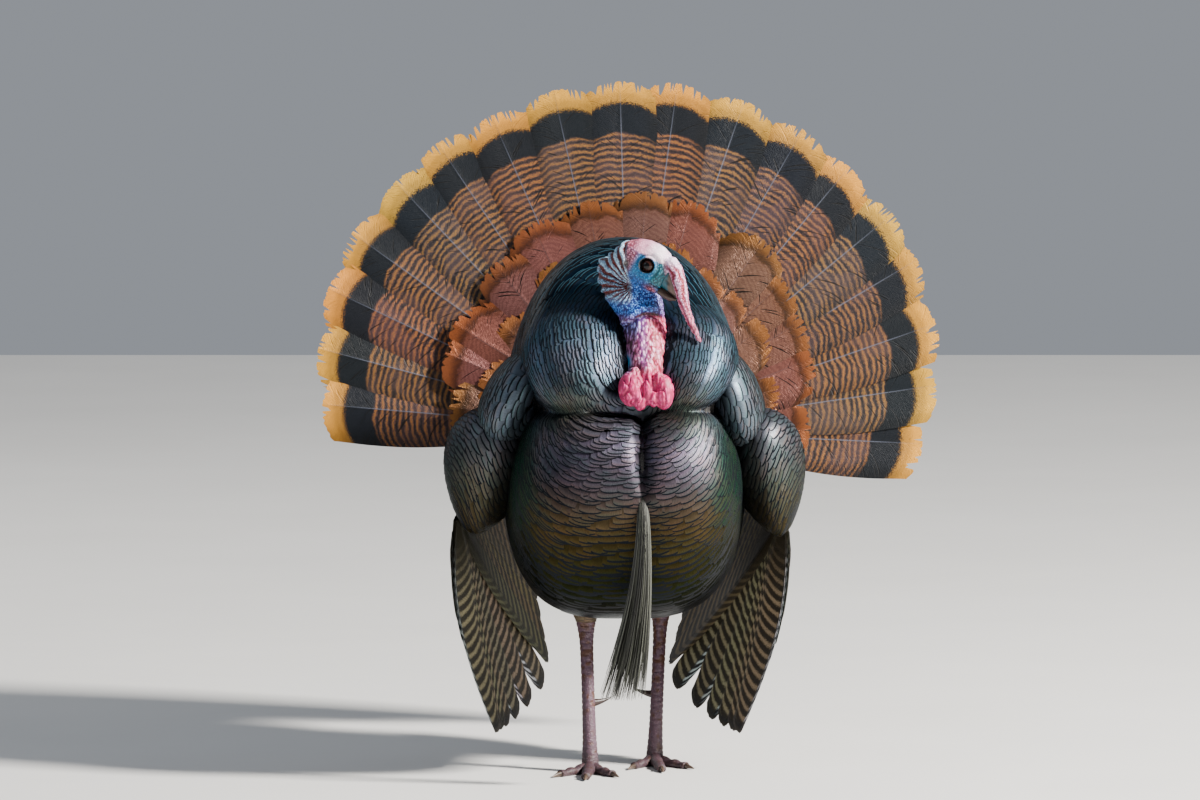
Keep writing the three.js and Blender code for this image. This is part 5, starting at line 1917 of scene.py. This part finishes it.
@dataclass(frozen=True)
class Bird:
    """The whole bird: skin, plumage and bare parts."""

    trunk: Trunk = Trunk()
    head: Head = Head()
    tail: Tail = Tail()
    beard: Beard = Beard()
    legs: tuple = (
        Leg(Side.RIGHT, (-62, -58, 262), (-42, -15, 172), (-37, -45, 18), -4),
        Leg(Side.LEFT, (64, 8, 268), (48, 58, 176), (41, 32, 18), 6),
    )
    wings: tuple = (
        Wing(
            Side.RIGHT,
            Lobe((-160, -40, 360), (54, 100, 76), 14, 22, (0.6, -0.35, 0.72), 0.42),
            (44, 118, 80),
        ),
        Wing(
            Side.LEFT,
            Lobe((176, -40, 358), (46, 100, 76), -12, 22, (-0.6, -0.35, 0.72), 0.42),
            (52, 150, 84),
        ),
    )
    scapulars: tuple = (
        Lobe((-126, -88, 456), (38, 86, 66), 30, 14, (0.75, -0.65, 0.1)),
        Lobe((132, -88, 456), (36, 86, 66), -22, 14, (-0.75, -0.65, 0.1)),
    )
    coat: float = 8.0
    leg_top: float = 190  # height under which the skin is a leg's

    def skin(self, shop: Workshop) -> Object:
        """One closed skin: trunk, wing lumps, shoulders, legs and the wrinkled head, coloured."""
        chart = self.trunk.chart()
        body = tube(lambda t, a: chart.place(0.01 + 0.985 * t, a, self.coat), 90, 100)
        parts = []
        for lobe in [wing.lump for wing in self.wings] + [*self.scapulars]:
            side = lobe.chart()
            shell = tube(lambda t, a, side=side: side.place(0.01 + 0.98 * t, a, self.coat), 40, 48)
            parts.append(shop.loose("lump", shell))
        for leg in self.legs:
            parts += leg.flesh(shop)
        parts.append(self.head.flesh(shop))
        skin = shop.union(shop.loose("skin", body), parts)
        p = shop.points_of(skin)
        bare, low = self.bare_head(p), p[:, 2] < self.leg_top
        tops = np.broadcast_to(rgb(0.12, 0.11, 0.11), p.shape).copy()
        gaps, strength = tops * 0.5, np.full(len(p), 0.3)
        tops[low] = self.legs[0].paint(p[low])
        gaps[low] = tops[low] * 0.4
        tops[bare], gaps[bare], strength[bare] = self.head.paint(p[bare])
        gloss = np.where(bare, 0.8, 0.4)
        long = ramp(p[:, 2], 566, 556) * bare
        shop.colour(skin.data, "tint", np.column_stack([tops, gloss]))
        shop.colour(skin.data, "deep", np.column_stack([gaps, long]))
        shop.colour(skin.data, "wart", opaque(np.column_stack([strength] * 3)))
        skin.data.polygons.foreach_set("use_smooth", np.ones(len(skin.data.polygons), bool))
        return skin

    def bare_head(self, p: Array) -> Array:
        """True on the bare head and neck, False on the feathered body."""
        x, y, _, half_x, half_y = self.head.beside(self.head.neck, p)
        near = np.hypot((p[:, 0] - x) / (half_x + 4), (p[:, 1] - y) / (half_y + 5)) < 1
        lumps = (p[:, 1] < -206) & (p[:, 2] > 450) & (np.abs(p[:, 0] - 30) < 38)
        along, up, _ = self.head.to_own(p)
        skull = (along > -58) & (along < 60) & (up > -48) & (p[:, 2] > 520) & (p[:, 1] < -135)
        hanging = (self.head.snood_share(p) > 0.2) & (p[:, 2] > 500)
        above = (p[:, 2] > 600) & (p[:, 1] < -150)
        return ((near | lumps) & (p[:, 2] > 452)) | skull | above | hanging

    def body_tracts(self) -> tuple[Tract, ...]:
        """The plumage of the trunk, from the crop to the tail."""
        rows = (
            ((62, -205, 520), 50, 4.8, 13, (0.28, 0.335, 0.41), 0.8, 1.3),
            ((10, -150, 580), 34, 5.0, 13, (0.17, 0.26, 0.34), 0.8, 1.3),
            ((98, -170, 515), 28, 5.8, 14, (0.23, 0.31, 0.37), 0.8, 1.7),
            ((60, -215, 466), 30, 4.4, 13, (0.23, 0.235, 0.13), 0.8, 1.0),
            ((50, -235, 410), 44, 6.0, 16, (0.29, 0.27, 0.33), 0.8, 0.9),
            ((120, -190, 385), 34, 7.4, 18, (0.08, 0.22, 0.15), 0.8, 2.0),
            ((55, -235, 338), 50, 8.4, 20, (0.235, 0.19, 0.105), 0.8, 1.5),
            ((50, -205, 268), 52, 10, 22, (0.10, 0.11, 0.03), 0.8, 3.2, 0, 0.1),
            ((40, -140, 215), 54, 11, 24, (0.06, 0.07, 0.02), 0.8, 4.2, 0, 0.12),
            ((40, 0, 190), 80, 12, 24, (0.11, 0.10, 0.07), 0.4, 4.0, 0.4),
            ((60, 130, 260), 80, 13, 25, (0.11, 0.09, 0.07), 0.3, 4.0, 0.6),
            ((135, -30, 320), 70, 10, 22, (0.15, 0.17, 0.11), 0.6, 2.4),
            ((30, -100, 618), 42, 8.6, 19, (0.055, 0.12, 0.19), 0.8, 4.6, 0.7, 0.10),
            ((100, -80, 560), 50, 9.4, 20, (0.03, 0.10, 0.13), 0.8, 5.0, 0.6, 0.10),
            ((0, -40, 636), 60, 10, 22, (0.035, 0.075, 0.13), 0.8, 5.0, 0.6, 0.10),
            ((0, 50, 630), 75, 10, 23, (0.05, 0.06, 0.055), 0.7, 4.4, 0.3, 0.1),
            ((95, 20, 560), 60, 10, 23, (0.05, 0.06, 0.055), 0.7, 4.4, 0.3, 0.1),
            ((0, 130, 560), 60, 12, 26, (0.28, 0.19, 0.13), 0.7, 4.0),
            ((0, 190, 470), 60, 13, 26, (0.36, 0.21, 0.14), 0.5, 3.0, 0.7),
        )
        return tuple(Tract(*row) for row in rows)

    def trunk_feathers(self) -> Shell:
        """The trunk's coat, left off where wings, shoulders, neck or tail lie over it."""
        lobes = [(wing.lump, 0.90) for wing in self.wings] + [(s, 0.86) for s in self.scapulars]

        def keep(p: Array) -> Array:
            """Where the trunk's feathers stay."""
            clear = np.ones(len(p), bool)
            for lobe, share in lobes:
                clear &= lobe.depth_of(p) > share
            return clear & ~((p[:, 1] > 218) & (p[:, 2] > 352))

        return FeatherBed(self.trunk.chart(), self.body_tracts(), 11, keep).shell()

    @staticmethod
    def parted(shell: Shell) -> dict[str, Shell]:
        """The trunk's coat in five pieces, by where the middle of each feather is."""
        each = FeatherBed.vane
        size = each.rows * each.columns + len(each.inner)
        middles = shell.points.reshape(-1, size, 3).mean(1)
        faces = shell.quads.reshape(len(middles), -1, 4)
        front, z = middles[:, 1] < -60, middles[:, 2]
        places = {
            "crop_feathers": front & (z > 434),
            "breast_feathers": front & (z <= 434) & (z > 290),
            "belly_feathers": z <= 290,
            "mantle_feathers": ~front & (z > 500),
            "rump_feathers": ~front & (z > 290) & (z <= 500),
        }
        parts = {}
        for name, chosen in places.items():
            dropped = np.cumsum(~chosen)[chosen]
            quads = (faces[chosen] - dropped[:, None, None] * size).reshape(-1, 4)
            rows = np.repeat(chosen, size)
            uvs, tints = ({k: v[rows] for k, v in kind.items()} for kind in (shell.uvs, shell.tints))
            parts[name] = Shell(shell.points[rows], quads, uvs=uvs, tints=tints)
        return parts

    def lobe_feathers(self, lobe: Lobe, tracts: tuple[Tract, ...], seed: int) -> Shell:
        """The coat of a wing lump or a shoulder, left off inside the trunk."""
        inside = Lobe((4, 0, 415), (116, 195, 195))
        bed = FeatherBed(
            lobe.chart(), tracts, seed, lambda p: inside.depth_of(p) > 0.95, span=(0.0, 0.97), middle=0.0
        )
        return bed.shell()

    def shoulder_tracts(self, lobe: Lobe) -> tuple[Tract, ...]:
        """Scapular feathers: pewter in front, dark bronze behind."""
        x, y, z = (abs(lobe.centre[0]), *lobe.centre[1:])
        rows = (
            ((x - 10, y - 80, z), 50, 6.6, 17, (0.33, 0.37, 0.42), 0.8, 1.7),
            ((x + 30, y - 20, z + 10), 50, 8.4, 20, (0.30, 0.34, 0.36), 0.8, 2.0),
            ((x + 10, y + 40, z + 30), 60, 9.5, 22, (0.14, 0.17, 0.15), 0.75, 2.8),
        )
        return tuple(Tract(*row) for row in rows)

    def thigh_feathers(self, leg: Leg) -> Shell:
        """Short soft feathers down to the hock."""
        tracts = (Tract((50, 0, 200), 90, 6, 11, (0.36, 0.30, 0.24), 0.1, 1.0, 0.4),)
        bed = FeatherBed(
            Chart(leg.thigh_place, None, 61, 81), tracts, 60 + leg.side.value, lambda p: p[:, 2] < 235,
            span=(0.3, 1.0), coat=3.0, slope=1.5,
        )
        return bed.shell()

    def build(self, shop: Workshop) -> None:
        """Makes every piece of the bird in order and reports it."""
        flesh = [
            "crop", "mantle", "rump", "breast", "belly", "vent", "head", "neck", "snood", "caruncles",
        ]
        for word in (side.word for side in Side):
            flesh += [f"scapular_{word}", f"thigh_{word}", f"shank_{word}", f"foot_{word}"]
            flesh.append(f"wing_{word}_coverts")
        shop.hand_over(self.skin(shop), LivingSkin().build(), flesh)
        horn = Horn().build()
        self.head.dress(shop, horn)
        for leg in self.legs:
            leg.dress(shop, horn)
        plumage = SheenPlumage().build()
        for name, shell in self.parted(self.trunk_feathers()).items():
            shop.piece(name, shell, plumage, Slot.BELLY if name == "belly_feathers" else Slot.BODY)
        for number, (wing, lobe) in enumerate(zip(self.wings, self.scapulars)):
            shell = self.lobe_feathers(lobe, self.shoulder_tracts(lobe), 20 + number)
            shop.piece(f"shoulder_feathers_{wing.side.word}", shell, plumage, Slot.BODY)
        for leg in self.legs:
            shop.piece(f"thigh_feathers_{leg.side.word}", self.thigh_feathers(leg), plumage, Slot.BELLY)
        finishes = flight_finishes()
        for wing in self.wings:
            name = wing.side.word
            shell = self.lobe_feathers(wing.lump, wing.tracts(), 30 + wing.side.value)
            shop.piece(f"wing_small_coverts_{name}", shell, plumage, Slot.BODY)
            for row, fan in wing.fans().items():
                nodes = [f"wing_{name}_{row}"] if row in ("primaries", "secondaries") else []
                shop.piece(f"wing_{row}_{name}", fan.shell(), finishes[row], Slot.WING, nodes)
        tail = self.tail
        for name, fans, finish, slot, node in (
            ("tail_feathers", [tail.great()], "tail", Slot.TAIL, "tail_fan"),
            ("tail_covert_feathers", tail.rows(tail.upper), "tail_coverts", Slot.COVERT, "tail_coverts"),
            ("undertail_feathers", tail.rows(tail.under), "undertail", Slot.COVERT, "undertail_coverts"),
        ):
            shop.piece(name, join(fan.shell() for fan in fans), finishes[finish], slot, [node])
        shop.piece("beard_bristles", self.beard.shell(), Bristles().build(), Slot.BEARD, ["beard"])


def flight_finishes() -> dict[str, Material]:
    """The finishes of the large feathers by the name of their row."""
    finishes = {
        "tail": Barring(
            "tail_barring", (0.78, 0.55, 0.19), 20, 42, (0.09, 0.08, 0.095),
            (0.52, 0.34, 0.16), 7.6, 0.43, -0.12, 3.4, shaft=(0.34, 0.36, 0.42),
            shaft_half=0.6, roughness=0.5, metal=0.2, slits=0.9, speckle=1.3, middle=(0.28, 0.21, 0.20),
        ),
        "tail_coverts": Barring(
            "covert_barring", (0.50, 0.30, 0.16), 20, 0, (0.38, 0.245, 0.21),
            (0.42, 0.28, 0.24), 6.0, 0.5, 0.4, 6.0, fade=(45, 110), beyond=(0.16, 0.10, 0.08),
            shaft=(0.36, 0.28, 0.28), shaft_half=0.4, roughness=0.33, metal=0.5, slits=1.0, speckle=0.3,
            frays=30.0, blend=0.75,
        ),
        "undertail": Barring(
            "undertail_barring", (0.56, 0.36, 0.20), 9, 5, (0.19, 0.14, 0.12),
            (0.42, 0.28, 0.18), 7.0, 0.45, 0.3, 3.0, fade=(90, 160), beyond=(0.24, 0.19, 0.16),
            shaft=(0.45, 0.35, 0.28), shaft_half=0.6, roughness=0.65,
        ),
        "primaries": Barring(
            "primary_barring", (0.17, 0.15, 0.12), 7, 0, (0.08, 0.09, 0.11),
            (0.86, 0.90, 0.90), 12.8, 0.38, 0.80, 1.4, fade=(150, 235), shaft=(0.14, 0.13, 0.11),
            roughness=0.5, speckle=0.8, inner_dark=(0.14, 0.12, 0.075),
            inner_pale=(0.58, 0.54, 0.42), beyond=(0.15, 0.135, 0.075),
        ),
        "secondaries": Barring(
            "secondary_barring", (0.24, 0.21, 0.14), 5, 0, (0.19, 0.165, 0.10),
            (0.40, 0.37, 0.26), 12.8, 0.42, 0.45, 1.6, fade=(110, 200),
            beyond=(0.15, 0.13, 0.06), shaft=(0.20, 0.16, 0.11), roughness=0.55,
            speckle=0.5, inner_dark=(0.12, 0.10, 0.05), inner_pale=(0.46, 0.41, 0.27),
        ),
    }
    finishes["primary_coverts"] = replace(
        finishes["primaries"], name="primary_covert_barring", pale=(0.40, 0.38, 0.34), period=12.0
    )
    finishes["greater_coverts"] = Barring(
        "greater_covert_barring", (0.50, 0.44, 0.34), 4, 8, (0.24, 0.20, 0.16),
        (0.36, 0.29, 0.22), 9, 0.5, 0.3, 3.0, fade=(40, 60), beyond=(0.30, 0.25, 0.18),
        shaft=(0.20, 0.15, 0.12), roughness=0.42, metal=0.3,
    )
    return {name: finish.build() for name, finish in finishes.items()}


# ---- the studio


@dataclass(frozen=True)
class Studio:
    """A pale floor, soft lights and a long-lens camera in front of the bird."""

    elevation: float = 5.0
    distance: float = 12.0
    scale: float = 1.2  # millimetres in a picture pixel at the bird
    picture: tuple = (1200, 800)
    aim: tuple = (-25.2, -30.0, 448.0)
    sensor: float = 36.0
    half: float = 6.0  # of the floor
    lamps: tuple = (  # name, place, size, watts and colour
        ("key", (4.5, -2.0, 3.6), 0.7, 1600, (1.0, 0.95, 0.88)),
        ("fill", (-3.8, -0.9, 2.8), 1.6, 18, (0.80, 0.90, 1.0)),
        ("back", (-2.0, 3.2, 2.0), 1.8, 14, (1.0, 0.98, 0.95)),
    )
    sky: tuple = (0.84, 0.90, 1.0, 1.0)
    sky_strength: float = 0.34

    def floor(self) -> None:
        """A wide pale floor."""
        mesh = bpy.data.meshes.new("floor")
        corners = [(x * self.half, y * self.half, 0) for x, y in ((-1, -1), (1, -1), (1, 1), (-1, 1))]
        mesh.from_pydata(corners, [], [(0, 1, 2, 3)])
        floor = bpy.data.objects.new("floor", mesh)
        bpy.context.scene.collection.objects.link(floor)
        g = Graph("studio_floor")
        tone = g.mix(g.noise(g.place(), 3, 4), (0.66, 0.66, 0.65), (0.74, 0.74, 0.73))
        g.set(Base_Color=tone, Roughness=0.7)
        floor.data.materials.append(g.material)

    def light(self, name: str, at: tuple, size: float, watts: float, colour: tuple) -> None:
        """A square soft light at a place, aimed at the bird."""
        lamp = bpy.data.lights.new(name, "AREA")
        lamp.size = size
        lamp.energy = watts
        lamp.color = colour
        obj = bpy.data.objects.new(name, lamp)
        obj.location = at
        aim = np.array([0.0, 0.0, 0.4]) - np.array(at)
        tip, turn = math.atan2(math.hypot(aim[0], aim[1]), -aim[2]), math.atan2(-aim[0], aim[1])
        obj.rotation_euler = (tip, 0, turn)
        bpy.context.scene.collection.objects.link(obj)

    def lights(self) -> None:
        """A warm key from the upper right, a cool fill from the left, and a pale sky."""
        for lamp in self.lamps:
            self.light(*lamp)
        world = bpy.data.worlds.new("studio_sky")
        world.use_nodes = True
        sky = world.node_tree.nodes["Background"]
        sky.inputs[0].default_value = self.sky
        sky.inputs[1].default_value = self.sky_strength
        bpy.context.scene.world = world

    def camera(self, shift: Array) -> None:
        """The camera: it looks along +Y, tipped down, and frames the picture at its scale."""
        data = bpy.data.cameras.new("camera")
        data.sensor_width = self.sensor
        data.lens = self.sensor * self.distance * 1000 / (self.picture[0] * self.scale)
        data.clip_end = 100
        tip = math.radians(self.elevation)
        aim = (np.array(self.aim) + shift) / 1000
        obj = bpy.data.objects.new("camera", data)
        obj.location = aim + self.distance * np.array([0, -math.cos(tip), math.sin(tip)])
        obj.rotation_euler = (math.pi / 2 - tip, 0, 0)
        bpy.context.scene.collection.objects.link(obj)
        bpy.context.scene.camera = obj


def frame_shift(head: Head) -> Array:
    """From the maker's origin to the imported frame's, in millimetres, by where the right eye is."""
    low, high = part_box("eye_right")
    middle = (np.array(low) + np.array(high)) * 500
    return middle - head.from_own(0, 0, head.eye_out)


def main() -> None:
    """Builds the bird and the studio, and logs the count of the bird's triangles."""
    logging.basicConfig(level=logging.INFO, format="%(message)s")
    bird = Bird()
    shop = Workshop(frame_shift(bird.head))
    LOG.info("shift %s", np.round(shop.shift, 2))
    studio = Studio()
    studio.camera(shop.shift)
    studio.floor()
    studio.lights()
    bird.build(shop)
    LOG.info("total %d triangles", shop.faces)


if __name__ == "__main__":
    main()
